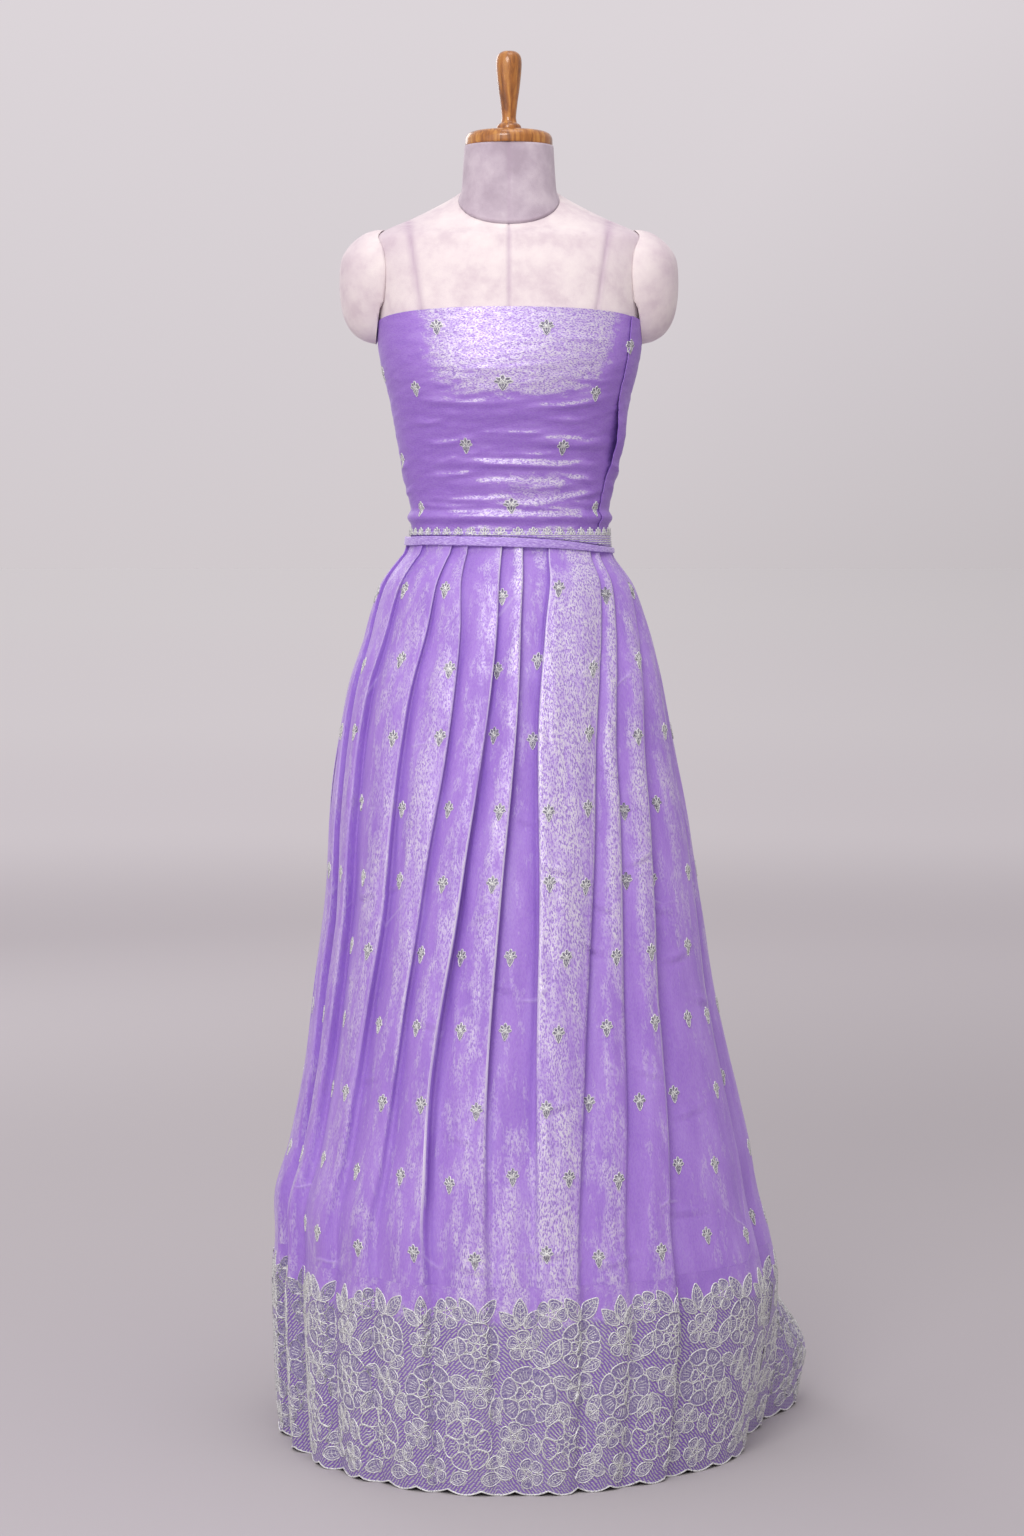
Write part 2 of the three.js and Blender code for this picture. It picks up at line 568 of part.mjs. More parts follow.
// Cuts the full rings of a wall at the side seams, where each panel stops short of its neighbour,
// and adds the two panels. columns is how many the front panel has.
function addPanels(kind, rings, columns, cloth, finish) {
  const split = (row, isFront) => {
    const part = isFront ? row.slice(0, columns) : [...row.slice(columns - 1), row[0]];
    const drawn = (end, beside) => end.clone().lerp(beside, (SEAM_GAP * 0.6) / end.distanceTo(beside));
    return [drawn(part[0], part[1]), ...part.slice(1, -1), drawn(part.at(-1), part.at(-2))];
  };
  const inside = rings.map((row) => moveOut(row, -cloth, true));
  SIDES.forEach(({ name }, n) => {
    const [outer, inner] = [rings, inside].map((rows) => rows.map((row) => split(row, n === 0)));
    add(kind + "_" + name, wallGeometry(outer, inner, false), finish);
  });
}

function addSkirt() {
  const [front, back] = SIDES.map(({ from, to }) => foldColumns(from, to));
  const places = [...front, ...back.slice(1, -1)];
  const turnOf = (p) => THREE.MathUtils.radToDeg(Math.atan2(p.x, -p.y));
  const turns = places.map((place) => turnOf(skirtPoint(place, WAIST_Z)));
  const level = SKIRT_ROWS.map((z) => places.map((place) => skirtPoint(place, z)));
  const atBand = [(turn) => bandFoot(turn) - 22, (turn) => bandFoot(turn) - 1.5, skirtTop].map((edge) =>
    places.map((place, n) => skirtPoint(place, edge(turns[n]))),
  );
  addPanels("skirt", [...level, ...atBand], front.length, SKIRT_CLOTH, "organza");
}

// Even steps along the hem between two places, as places.
function evenPlaces(from, to, z, count) {
  const fine = 800;
  const places = Array.from({ length: fine + 1 }, (_, n) => from + ((to - from) * n) / fine);
  const points = places.map((p) => skirtPoint(p, z));
  const run = [0];
  points.slice(1).forEach((p, n) => run.push(run[n] + p.distanceTo(points[n])));
  const total = run[fine];
  return Array.from({ length: count + 1 }, (_, n) => {
    const wanted = total * (n / count);
    const k = Math.min(Math.max(run.findIndex((r) => r >= wanted), 1), fine);
    const share = (wanted - run[k - 1]) / (run[k] - run[k - 1]);
    return THREE.MathUtils.lerp(places[k - 1], places[k], share);
  });
}

function hemLength(from, to) {
  const steps = 400;
  const points = Array.from({ length: steps + 1 }, (_, n) => skirtPoint(from + ((to - from) * n) / steps, 0));
  return points.slice(1).reduce((sum, p, n) => sum + p.distanceTo(points[n]), 0);
}

function addBorder() {
  const [front, back] = SIDES.map(({ from, to }) => {
    const scallops = Math.round(hemLength(from, to) / SCALLOP_PITCH);
    return evenPlaces(from, to, BORDER_ROWS[0], scallops * COLUMNS_PER_SCALLOP);
  });
  const places = [...front, ...back.slice(1, -1)];
  const hem = places.map((place, n) => {
    const share = (n % COLUMNS_PER_SCALLOP) / COLUMNS_PER_SCALLOP;
    return skirtPoint(place, FLOOR_Z + SCALLOP_DEPTH * (1 - Math.sin(share * Math.PI)));
  });
  const rows = [...BORDER_ROWS, BORDER_TOP_Z].map((z) => places.map((place) => skirtPoint(place, z)));
  addPanels("border", [hem, ...rows], front.length, BORDER_CLOTH, "embroidery");
}

// The bodice

// How far the wrap's creases stand out at a turn and a height.
function wrapFold(turn, z) {
  return WRAP_FOLDS.reduce((sum, fold) => {
    const away = ((((turn - fold.middle + 180) % 360) + 360) % 360) - 180;
    const height = z - fold.z - fold.rise * away;
    return sum + fold.out * bump(height / fold.half) * (fold.spread > 360 ? 1 : bump(away / fold.spread));
  }, 0);
}

const bodiceTop = (turn) =>
  BODICE_TOP_SIDE_Z + BODICE_TOP_RISE * Math.max(Math.cos(radians(turn)), 0) ** 0.4;

// The wrap's points between two turns, moved out from the form. lift is how far it lies over
// what is under it.
function wrapRows(turns, lift) {
  const topRow = turns.map(bodiceTop);
  const footRow = turns.map((turn) => skirtTop(turn) + 3 * SEAM_GAP);
  return [footRow, ...WRAP_ROWS.map((z) => turns.map(() => z)), topRow].map((heights) => {
    const onForm = turns.map((turn, n) => formPoint(turn, heights[n]));
    const clear = (n) => BODICE_CLEARANCE + wrapFold(turns[n], heights[n]) + lift(turns[n]);
    return {
      inner: moveOut(onForm, clear, false),
      outer: moveOut(onForm, (n) => clear(n) + BODICE_CLOTH, false),
    };
  });
}

function wrapTurns({ from, to }) {
  const step = 360 / RING_COLUMNS;
  const inside = [];
  for (let n = Math.ceil(from / step); n * step < to; n++) {
    if (n * step > from + 1) inside.push(n * step);
  }
  return [from + 0.1, ...inside.filter((t) => t < to - 1), to - 0.1];
}

// How much further out the wrap's free end lies, over the front piece.
function overFront(turn) {
  const shown = smooth((turn - WRAP_BACK.from) / OVERLAP_RISE + 1);
  return (BODICE_CLOTH + 3 * SEAM_GAP) * shown * (1 - smooth((turn - WRAP_FRONT.to) / OVERLAP_FADE));
}

function addBodice() {
  const none = () => 0;
  for (const [name, span, lift] of [
    ["bodice_front", WRAP_FRONT, none],
    ["bodice_back", WRAP_BACK, overFront],
  ]) {
    const rows = wrapRows(wrapTurns(span), lift);
    const outer = rows.map((r) => r.outer);
    const inner = rows.map((r) => r.inner);
    add(name, wallGeometry(outer, inner, false), "organza");
  }
}

// The outside of everything that lies round the waist under the trim and the band.
function waistPoint(turn, z, out) {
  const p = formPoint(turn, z);
  const beside = formPoint(turn + 0.5, z);
  const facing = new THREE.Vector2(beside.y - p.y, p.x - beside.x).normalize();
  return new THREE.Vector3(p.x + facing.x * out, p.y + facing.y * out, z);
}

function addTrim() {
  const atWaist = ringTurns.map((turn) => formPoint(turn, TRIM.topZ));
  const length = atWaist.reduce((sum, p, n) => sum + p.distanceTo(atWaist[(n + 1) % RING_COLUMNS]), 0);
  const count = 2 * Math.round(length / TRIM.pitch);
  const turns = Array.from({ length: count }, (_, n) => (360 * n) / count);
  const over = (turn) => BODICE_CLEARANCE + BODICE_CLOTH + 2 * SEAM_GAP + overFront(turn);
  const edges = [(turn) => bandTop(turn) + 2 * SEAM_GAP, (turn, n) => TRIM.topZ - (n % 2) * TRIM.scallop];
  const grid = (extra) =>
    edges.map((edge) => turns.map((turn, n) => waistPoint(turn, edge(turn, n), over(turn) + extra)));
  add("bodice_trim", wallGeometry(grid(TRIM.cloth), grid(0), true), "embroidery");
}

function addWaistband() {
  const grid = (extra) =>
    [0, 0.5, 1].map((share) =>
      ringTurns.map((turn) => {
        const z = THREE.MathUtils.lerp(bandFoot(turn), bandTop(turn), share);
        return waistPoint(turn, z, WAISTBAND.out + extra);
      }),
    );
  add("waistband", wallGeometry(grid(WAISTBAND.cloth), grid(0), true), "band");
}

addStand();
addForm();
addWood();
addSkirt();
addBorder();
addBodice();
addTrim();
addWaistband();

export default lehenga;
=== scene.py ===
"""A lehenga on a limbless dress form: its looks, laid over the packed solids.

Sizes are millimetres in the shape functions and metres in the meshes. The front faces -Y. Angles
round the figure run from the front (0) over +X (90) to the back (180).
"""

import functools
import math

import bpy
import numpy as np
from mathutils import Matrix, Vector


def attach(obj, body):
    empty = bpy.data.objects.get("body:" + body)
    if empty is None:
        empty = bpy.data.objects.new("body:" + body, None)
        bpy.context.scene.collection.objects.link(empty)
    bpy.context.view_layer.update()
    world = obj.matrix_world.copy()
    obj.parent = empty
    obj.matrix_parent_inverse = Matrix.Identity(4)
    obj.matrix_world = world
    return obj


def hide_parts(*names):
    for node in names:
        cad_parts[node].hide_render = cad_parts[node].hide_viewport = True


bl_info = {
    "name": "Lehenga on a dress form",
    "version": (1, 0, 0),
    "blender": (4, 5, 0),
    "location": "View3D > Sidebar > Lehenga",
    "description": "Builds a wrapped bodice and a pleated skirt with an embroidered border",
    "category": "Add Mesh",
}

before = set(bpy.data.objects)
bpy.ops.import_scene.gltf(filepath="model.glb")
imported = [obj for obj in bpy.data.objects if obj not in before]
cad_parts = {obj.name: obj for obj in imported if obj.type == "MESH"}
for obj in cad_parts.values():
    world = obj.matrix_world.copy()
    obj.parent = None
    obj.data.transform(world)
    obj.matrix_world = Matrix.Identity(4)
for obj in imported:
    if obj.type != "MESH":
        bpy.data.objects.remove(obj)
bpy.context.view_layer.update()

MM = 0.001


# Tables, which repeat the solids' driving sizes

FORM_SECTIONS = np.array([  # height, half width, depth to the front, depth to the back, tilt
    (792, 148, 98, 106, 0), (804, 158, 106, 115, 0), (860, 168, 112, 124, 0),
    (930, 158, 104, 116, 0), (990, 138, 94, 104, 0), (1040, 119, 86, 90, 0),
    (1075, 114, 83, 85, 0), (1102, 114, 84, 86, 0), (1126, 119, 88, 88, 0),
    (1160, 126, 96, 90, 0), (1205, 134, 109, 93, 0), (1237, 140, 119, 95, 0),
    (1264, 147, 122, 98, 0), (1290, 152, 119, 100, 0), (1305, 153.5, 115, 101, 0),
    (1345, 158, 103, 101, 0), (1385, 164, 89, 99, 0), (1408, 166, 78, 94, 0),
    (1422, 161, 72, 89, 2), (1433, 142, 66, 83, 8), (1443, 118, 62, 78, 16),
    (1453, 92, 58, 72, 24), (1461, 71, 56, 67, 30), (1466, 60, 55, 64, 33),
], float)
NECK_SECTIONS = np.array([
    (1466.5, 60, 55, 64, 33), (1475, 56.5, 52, 58, 22), (1495, 54.6, 50, 56, 9),
    (1529, 52.5, 49, 53, 0),
], float)
SQUARENESS = 0.9
PAD_SECTIONS = np.array([  # height, reach from the middle plane, half depth
    (1297.5, 156, 6), (1301, 170, 17), (1310, 184, 29), (1326, 194, 40), (1348, 199, 48),
    (1374, 200, 51), (1397, 197.5, 47), (1411, 189.5, 39), (1421, 179, 29), (1428, 168, 17),
    (1431, 158, 7),
], float)
PAD_CENTRE = 152
PAD_STEP_Z = 1341

SKIRT_SECTIONS = np.array([  # height, left, right, front, back
    (0, 264, 282, 302, 345), (50, 267, 292, 301, 340), (100, 269, 303, 299, 334),
    (186, 271, 313, 293, 322), (234, 268, 305, 288, 315), (290, 268, 290, 279, 304),
    (353, 249, 278, 268, 290), (448, 232, 256, 248, 267), (543, 221, 236, 228, 244),
    (638, 210, 222, 208, 222), (734, 205, 208, 187, 200), (829, 195, 190, 165, 177),
    (900, 183, 178, 147, 158), (948, 168, 167, 132, 143), (995, 156, 152, 117, 124),
    (1019, 147, 142, 108, 111), (1043, 130, 125, 95, 98), (1050, 124, 121.8, 90.4, 93.4),
    (1058, 120.8, 120, 88, 91), (1068, 118.9, 118.9, 87.2, 90),
], float)
ROUND_BELOW_Z, WAIST_Z = 960, 1060

FOLD_HEIGHTS = [0, 234, 448, 638, 876, 1060]
DEPTH_HEIGHTS = [0, 234, 520, 820, 1060]
FOLDS = [  # which way the edge faces, where it lies at the heights, how deep, how soft at the hem
    (1, (-80, -80, -80, -80, -82, -84), (9, 9, 7, 5, 1.9), 9),
    (1, (-66, -67, -66, -63, -62, -55), (8, 8, 7, 6, 1.9), 10),
    (1, (-50, -50, -48, -43, -38, -31), (6, 6, 6, 5, 1.9), 10),
    (1, (-36, -36, -34, -29, -20, -21), (5, 5, 5, 4, 1.9), 9),
    (1, (-19, -20, -22, -16, -7, -3), (3, 6, 8, 6, 1.9), 5),
    (1, (-4, -5, -6, -3, 3, 6), (2, 4, 7, 9, 1.9), 6),
    (-1, (6, 6, 7, 9, 11, 20.5), (2, 4, 7, 9, 1.9), 8),
    (1, (15, 15, 19, 24.5, 33.5, 49.5), (3, 5, 6, 4, 1.9), 6),
    (1, (26, 26, 31, 35, 42, 58.5), (3, 3, 4, 4, 1.9), 9),
    (1, (39, 38, 43, 47, 56, 78), (5, 6, 8, 7, 1.9), 6),
    (1, (71, 70, 71, 73, 77, 94), (13, 9, 8, 6, 1.9), 9),
    (1, (90, 90, 92, 94, 98, 110), (9, 9, 8, 5, 1.9), 10),
    (1, (107, 108, 110, 111, 115, 127), (11, 11, 9, 6, 1.9), 10),
    (1, (129, 128, 127, 127, 131, 143), (12, 11, 9, 6, 1.9), 11),
    (1, (146, 146, 146, 147, 150, 159), (10, 10, 8, 6, 1.9), 10),
    (1, (166, 166, 165, 165, 166, 173), (12, 11, 9, 7, 1.9), 11),
    (-1, (187, 186, 185, 185, 186, 191), (12, 11, 9, 7, 1.9), 11),
    (-1, (205, 205, 204, 204, 204, 208), (10, 10, 8, 6, 1.9), 10),
    (-1, (224, 224, 223, 222, 221, 224), (12, 11, 9, 6, 1.9), 11),
    (-1, (243, 243, 242, 241, 240, 241), (11, 10, 8, 6, 1.9), 10),
    (-1, (262, 262, 262, 261, 259, 258), (9, 9, 8, 5, 1.9), 10),
]
FOLD_FACES = np.array([f[0] for f in FOLDS])
FOLD_TURN = np.array([f[1] for f in FOLDS], float)
FOLD_DEEP = np.array([f[2] for f in FOLDS], float)
FOLD_SOFT = np.array([f[3] for f in FOLDS], float)
FOLD_EDGE_PAINT = np.array([  # how strongly each edge's painted lip highlight and the painted shadow under it show, and the height at which that ends
    (0.3, 420), (0.3, 420), (0.4, 420), (0.5, 460), (1.1, 240), (0.95, 380), (0.6, 420), (0.8, 640),
    (0.7, 520), (0.85, 330), (0.5, 420), (0.6, 420), (0.8, 300), (0.5, 420), (0.9, 360), (0.5, 420),
    (0.7, 420), (0.9, 300), (0.5, 420), (0.7, 420), (0.4, 420),
])
STEP_SHARE, WAIST_STEP, BELLY_SHARE = 0.07, 1.3, 0.05
LAP_FROM_Z, LAP_RUN, LAP_DEEP = 250, 330, 2.6
TRAILS = [(114, 34, 88, 185), (238, 26, 24, 380), (165, 30, 26, 200)]
LEFT_SEAM, RIGHT_SEAM = -0.5, 10.5
BORDER_TOP_Z, CLOTH_TOP_Z = 232, 1062
COLUMNS_PER_FOLD = 20
SCALLOP_PITCH, SCALLOP_DEPTH = 40, 5
SPRIG_PITCH, SPRIG_DROP = 76, 82.0
OFF_EDGE = 0.18  # how far a sprig keeps from a folded edge, as a share of the pleat
STITCH_ROWS, STITCH_LENGTH = 4.4, 7
LIT_TURN = 24  # where the painted glitter on the skirt is strongest

WRAP_FOLDS = [  # middle, spread, height, rise, out, half width
    (0, 400, 1093, 0, 4.6, 10), (20, 70, 1108, 0.03, 2.6, 9), (8, 60, 1131, -0.02, 2.4, 9),
    (5, 70, 1154, -0.06, 2.8, 9), (30, 50, 1180, -0.1, 2.6, 10), (-5, 45, 1211, 0.05, 1.4, 10),
    (180, 80, 1122, 0, 2.6, 10), (175, 70, 1158, 0.05, 2.6, 11), (190, 60, 1204, -0.05, 2, 12),
    (262, 40, 1140, 0.08, 2, 12), (92, 34, 1146, -0.1, 2.6, 12),
]
BODICE_CLEARANCE, BODICE_CLOTH = 0.65, 1.3
OVERLAP = dict(start=63, end=90, rise=15, fade=18, gap=0.9)
BAND = dict(top=1072, top_dip=14, foot=1059.5, foot_dip=9, out=7.6, cloth=1.5)
TRIM = dict(top=1082.5, cloth=0.9)
FAN_PITCH = 14.2
BODICE_REACH, BUST_FOOT_Z = 125.0, 1222
CAMERA_ASIDE, CAMERA_DIP = 0.0036, 3.632  # metres to the right, degrees below level


def smooth(x):
    """A soft step from 0 to 1."""
    x = np.clip(x, 0, 1)
    return x * x * (3 - 2 * x)


def bump(x):
    """A soft hump, 1 in the middle and 0 past 1 on either side."""
    return np.where(np.abs(x) < 1, np.cos(np.clip(x, -1, 1) * np.pi / 2) ** 2, 0)


def wrapped(turn):
    """An angle's distance from 0, from -180 to 180."""
    return (turn + 180) % 360 - 180


def along(heights, values, z, row=None):
    """Reads a table at any height, on a cubic between two rows that keeps the table's own slope at
    each. With a table for each of several folds, row says which is read."""
    heights, values = np.asarray(heights, float), np.atleast_2d(np.asarray(values, float))
    last = len(heights) - 1
    row = np.zeros(np.shape(z), int) if row is None else row
    z = np.clip(z, heights[0], heights[last])
    k = np.clip(np.searchsorted(heights, z, side="right") - 1, 0, last - 1)
    before, after = np.maximum(np.arange(last + 1) - 1, 0), np.minimum(np.arange(last + 1) + 1, last)
    slope = (values[:, after] - values[:, before]) / (heights[after] - heights[before])
    run = heights[k + 1] - heights[k]
    u = (z - heights[k]) / run
    return (
        values[row, k] * (1 + 2 * u) * (1 - u) ** 2 + values[row, k + 1] * u * u * (3 - 2 * u)
        + slope[row, k] * run * u * (1 - u) ** 2 - slope[row, k + 1] * run * u * u * (1 - u)
    )


def ripple(x, y, seed=0):
    """An even, repeatable unevenness from -1 to 1: smooth blends between pseudo-random numbers at
    whole coordinates."""
    x, y = np.broadcast_arrays(np.asarray(x, float), np.asarray(y, float))
    i, j = np.floor(x), np.floor(y)
    u, v = smooth(x - i), smooth(y - j)

    def at(a, b):
        return np.modf(np.sin(a * 127.1 + b * 311.7 + seed * 74.7) * 43758.5453)[0]

    low = at(i, j) * (1 - u) + at(i + 1, j) * u
    high = at(i, j + 1) * (1 - u) + at(i + 1, j + 1) * u
    return low * (1 - v) + high * v


def oval(left, right, front, back, turn, squareness, out):
    """x and y on an oval whose half widths and depths may differ, raised to a squareness and moved
    out across the plain oval's edge."""
    across, ahead = np.sin(np.radians(turn)), np.cos(np.radians(turn))
    wide, deep = np.where(across < 0, left, right), np.where(ahead < 0, back, front)
    x = np.sign(across) * np.abs(across) ** squareness * wide
    y = -np.sign(ahead) * np.abs(ahead) ** squareness * deep
    fx, fy = across * deep, -ahead * wide
    size = np.hypot(fx, fy)
    return x + fx / size * out, y + fy / size * out


def skirt_point(place, z, out=0.0):
    """A point on the outside of the skirt, in millimetres. place counts the pleats, and at a whole
    number it is on a pleat's folded edge, where the cloth doubles back under itself. Between two
    folds it runs in an even, slightly rounded sweep. out moves the point off the cloth."""
    place, z, out = np.broadcast_arrays(*(np.asarray(v, float) for v in (place, z, out)))
    n = np.floor(place + STEP_SHARE).astype(int)
    past = place - n

    def fold(number):
        laps, row = np.divmod(number, len(FOLDS))
        turn = along(FOLD_HEIGHTS, FOLD_TURN, z, row) + 360 * laps
        deep = along(DEPTH_HEIGHTS, FOLD_DEEP, z, row)
        half = FOLD_SOFT[row] + (WAIST_STEP - FOLD_SOFT[row]) * np.sqrt(smooth(z / WAIST_Z))
        return FOLD_FACES[row], turn, deep, half

    faces, turn_here, deep_here, half_here = fold(n)
    faces_next, turn_next, deep_next, half_next = fold(n + 1)
    heights = SKIRT_SECTIONS[:, 0]
    left, right, front, back = (along(heights, SKIRT_SECTIONS[:, k], z) for k in (1, 2, 3, 4))
    near_waist = smooth((z - ROUND_BELOW_Z) / (WAIST_Z - ROUND_BELOW_Z))
    per_mm = 360 / (np.pi * (left + right + front + back) * 0.5)

    q = past / STEP_SHARE
    tuck = smooth((z - LAP_FROM_Z) / LAP_RUN)  # how sharply the edge laps over what is under it
    sideways = q * (1 - LAP_DEEP * tuck) + LAP_DEEP * tuck * q**3
    step_turn = turn_here + sideways * half_here * per_mm
    plain = np.sin(np.clip(q, -1, 1) * np.pi / 2)
    lapped = np.tanh(3 * q) / np.tanh(3)
    step_out = -faces * deep_here * (plain + (lapped - plain) * tuck)

    share = np.clip((past - STEP_SHARE) / (1 - 2 * STEP_SHARE), 0, 1)
    start, end = turn_here + half_here * per_mm, turn_next - half_next * per_mm
    width = (end - start) / per_mm
    belly = width * BELLY_SHARE * (1 - near_waist) * np.sin(share * np.pi)
    sweep_from, sweep_to = -faces * deep_here, faces_next * deep_next
    sweep_out = sweep_from + (sweep_to - sweep_from) * (0.4 * smooth(share) + 0.6 * share) + belly

    on_step = past < STEP_SHARE
    turn = np.where(on_step, step_turn, start + (end - start) * share)
    reach = np.where(on_step, step_out, sweep_out) + out
    reach = reach + crumple(turn, z)
    for middle, spread, far, rise in TRAILS:
        down = smooth((1 - z / rise) / 0.7) * (z < rise)
        reach = reach + far * bump(wrapped(turn - middle) / spread) * down

    x, y = oval(left, right, front, back, turn, 1 + (SQUARENESS - 1) * near_waist, reach)
    return np.stack([x, y, z], axis=-1)


CREASES = [  # turn, height, tilt up for each degree, half length in degrees, depth, half width
    (-62, 762, 0.9, 9, 1.6, 3.5), (-52, 655, 0.35, 9, 2.2, 3.6), (-40, 668, 1.6, 6, 1.8, 4),
    (-34, 742, 1, 6, 1.6, 3.5), (-24, 520, -1.2, 7, 1.8, 4.5), (-8, 640, 1.8, 6, 1.8, 4),
    (-2, 560, -1.6, 6, 1.8, 4), (6, 745, -1.5, 6, 1.8, 4), (14, 692, -1.1, 7, 2.6, 4),
    (22, 876, 0.5, 7, 1.4, 3), (24, 604, -2.2, 6, 3, 5), (29, 648, -2, 5, 2.4, 5),
    (36, 800, -1.8, 7, 2.2, 4), (44, 700, 1.6, 8, 2.2, 5), (52, 640, -1.4, 8, 2.4, 5),
    (58, 585, 1.1, 9, 2.4, 5), (66, 530, -1.2, 8, 2.2, 5), (38, 460, -1.6, 7, 1.8, 5),
    (12, 430, 1.4, 7, 1.6, 5), (-14, 395, -1, 7, 1.5, 5), (52, 410, 1.2, 8, 1.8, 5),
    (-44, 450, 1.1, 7, 1.6, 5), (-58, 560, -1, 8, 1.6, 4.5), (8, 268, 0.5, 10, 1.6, 5),
    (-8, 252, -0.7, 8, 1.6, 5), (24, 256, 0.8, 8, 1.6, 5), (44, 300, -0.8, 9, 1.8, 5),
    (112, 640, 0.9, 9, 2.2, 5), (128, 560, -1.4, 8, 2, 5), (138, 720, -1, 8, 2, 5),
    (150, 480, 1.2, 8, 1.8, 5), (170, 610, 0.9, 9, 2, 5), (188, 520, -1.2, 8, 1.8, 5),
    (201, 700, -1, 9, 2.2, 5), (216, 560, 1.3, 8, 2, 5), (228, 640, 1.4, 8, 2.2, 5),
    (244, 480, -1.2, 8, 1.8, 5), (254, 600, -1, 9, 2, 5), (98, 480, -1, 8, 1.8, 5),
]


def crumple(turn, z):
    """How far the stiff thin cloth stands out of its even form: a few short sharp creases, and a
    wavering that is longer down the cloth than across it."""
    free = smooth((1045 - z) / 120) * (0.25 + 0.75 * smooth((z - 60) / 260))
    wavering = 1.1 * ripple(turn / 3.1, z / 130, 1) + 0.5 * ripple(turn / 1.3 + z / 160, z / 60, 2)
    out = wavering * free
    for middle, height, tilt, spread, depth, half in CREASES:
        aside = wrapped(turn - middle)
        off = (z - height - tilt * aside - 0.12 * aside**2) / half
        out = out + 0.8 * depth * bump(aside / spread) * (bump(off) - 0.7 * bump(off + 1.2))
    return out


def form_point(turn, section, out=0.0, table=FORM_SECTIONS):
    """A point on the padded form, in millimetres: an oval slightly squared, whose sections near the
    neck tilt down to the front."""
    turn, section = np.broadcast_arrays(np.asarray(turn, float), np.asarray(section, float))
    half, front, back, tilt = (along(table[:, 0], table[:, k], section) for k in (1, 2, 3, 4))
    x, y = oval(half, half, front, back, turn, SQUARENESS, out)
    return np.stack([x, y, section - tilt * np.cos(np.radians(turn))], axis=-1)


def over_front(turn):
    """How much further out the wrap's free end lies, over the front piece."""
    shown = smooth((turn - OVERLAP["start"]) / OVERLAP["rise"] + 1)
    gone = smooth((turn - OVERLAP["end"]) / OVERLAP["fade"])
    return (BODICE_CLOTH + OVERLAP["gap"]) * shown * (1 - gone)


def lean(turn):
    """0 at the left side and 1 at the right."""
    return (1 + np.sin(np.radians(turn))) / 2


def band_top(turn):
    """The band's upper edge, which dips to the right."""
    return BAND["top"] - BAND["top_dip"] * lean(turn) ** 3


def band_foot(turn):
    """The band's lower edge, which dips to the right too."""
    return BAND["foot"] - BAND["foot_dip"] * lean(turn) ** 2


def band_middle(turn):
    """Halfway up the band, where the skirt's cloth and the bodice's end."""
    return (band_top(turn) + band_foot(turn)) / 2


# Mesh and material helpers


def grid_faces(rows, columns, ring=False):
    """Four-sided faces over a grid of points, facing out when the columns run with the turn."""
    across = columns if ring else columns - 1
    r, c = np.meshgrid(np.arange(rows - 1), np.arange(across), indexing="ij")
    a, b = r * columns + c, r * columns + (c + 1) % columns
    return np.stack([a, b, b + columns, a + columns], axis=-1).reshape(-1, 4)


def make_piece(name, points, faces, materials, replaces=(), uv=None, which=None):
    """Puts a mesh of points in millimetres into the scene as one finished piece that rides on the
    part. which gives each face its material's number."""
    mesh = bpy.data.meshes.new(name)
    points = np.asarray(points, float).reshape(-1, 3) * MM
    faces = np.asarray(faces)
    corners = faces.shape[1]
    mesh.vertices.add(len(points))
    mesh.vertices.foreach_set("co", points.ravel())
    mesh.loops.add(faces.size)
    mesh.loops.foreach_set("vertex_index", faces.ravel())
    mesh.polygons.add(len(faces))
    mesh.polygons.foreach_set("loop_start", np.arange(len(faces)) * corners)
    mesh.update(calc_edges=True)
    mesh.polygons.foreach_set("use_smooth", np.full(len(faces), True))
    if which is not None:
        mesh.polygons.foreach_set("material_index", which)
    if uv is not None:
        layer = mesh.uv_layers.new(name="cloth")
        layer.data.foreach_set("uv", np.asarray(uv, float).reshape(-1, 2)[faces.ravel()].ravel())
    for material in materials:
        mesh.materials.append(material)
    mesh.validate()
    piece = bpy.data.objects.new(name, mesh)
    bpy.context.scene.collection.objects.link(piece)
    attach(piece, "root")
    if replaces:
        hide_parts(*replaces)
    return piece


def thicken(piece, millimetres):
    """Gives an open sheet its thickness, inwards, and a closed rim with a crisp edge."""
    mesh = piece.data
    used = np.empty(len(mesh.loops), np.int32)
    mesh.loops.foreach_get("edge_index", used)
    sharp = mesh.attributes.new("sharp_edge", "BOOLEAN", "EDGE")
    sharp.data.foreach_set("value", np.bincount(used, minlength=len(mesh.edges)) == 1)
    wall = piece.modifiers.new("cloth thickness", "SOLIDIFY")
    wall.thickness = millimetres * MM
    wall.offset = -1
    wall.use_even_offset = False
    return piece


def set_gleam(piece, gleam):
    """Stores how much the metal weft shows at each point, up to 1, or how deep in a fold the point
    lies, down to -1."""
    layer = piece.data.attributes.new("gleam", "FLOAT", "POINT")
    layer.data.foreach_set("value", np.clip(gleam, -1, 1).ravel())


def grid_normal(p):
    """Outward directions of a grid of points, rows up and columns with the turn."""
    n = np.cross(np.gradient(p, axis=1), np.gradient(p, axis=0))
    return n / np.maximum(np.linalg.norm(n, axis=-1, keepdims=True), 1e-9)


def linear(code):
    """An sRGB colour as hex, turned to linear light."""
    parts = [int(code[k : k + 2], 16) / 255 for k in (1, 3, 5)]
    return tuple(c / 12.92 if c <= 0.04045 else ((c + 0.055) / 1.055) ** 2.4 for c in parts) + (1,)


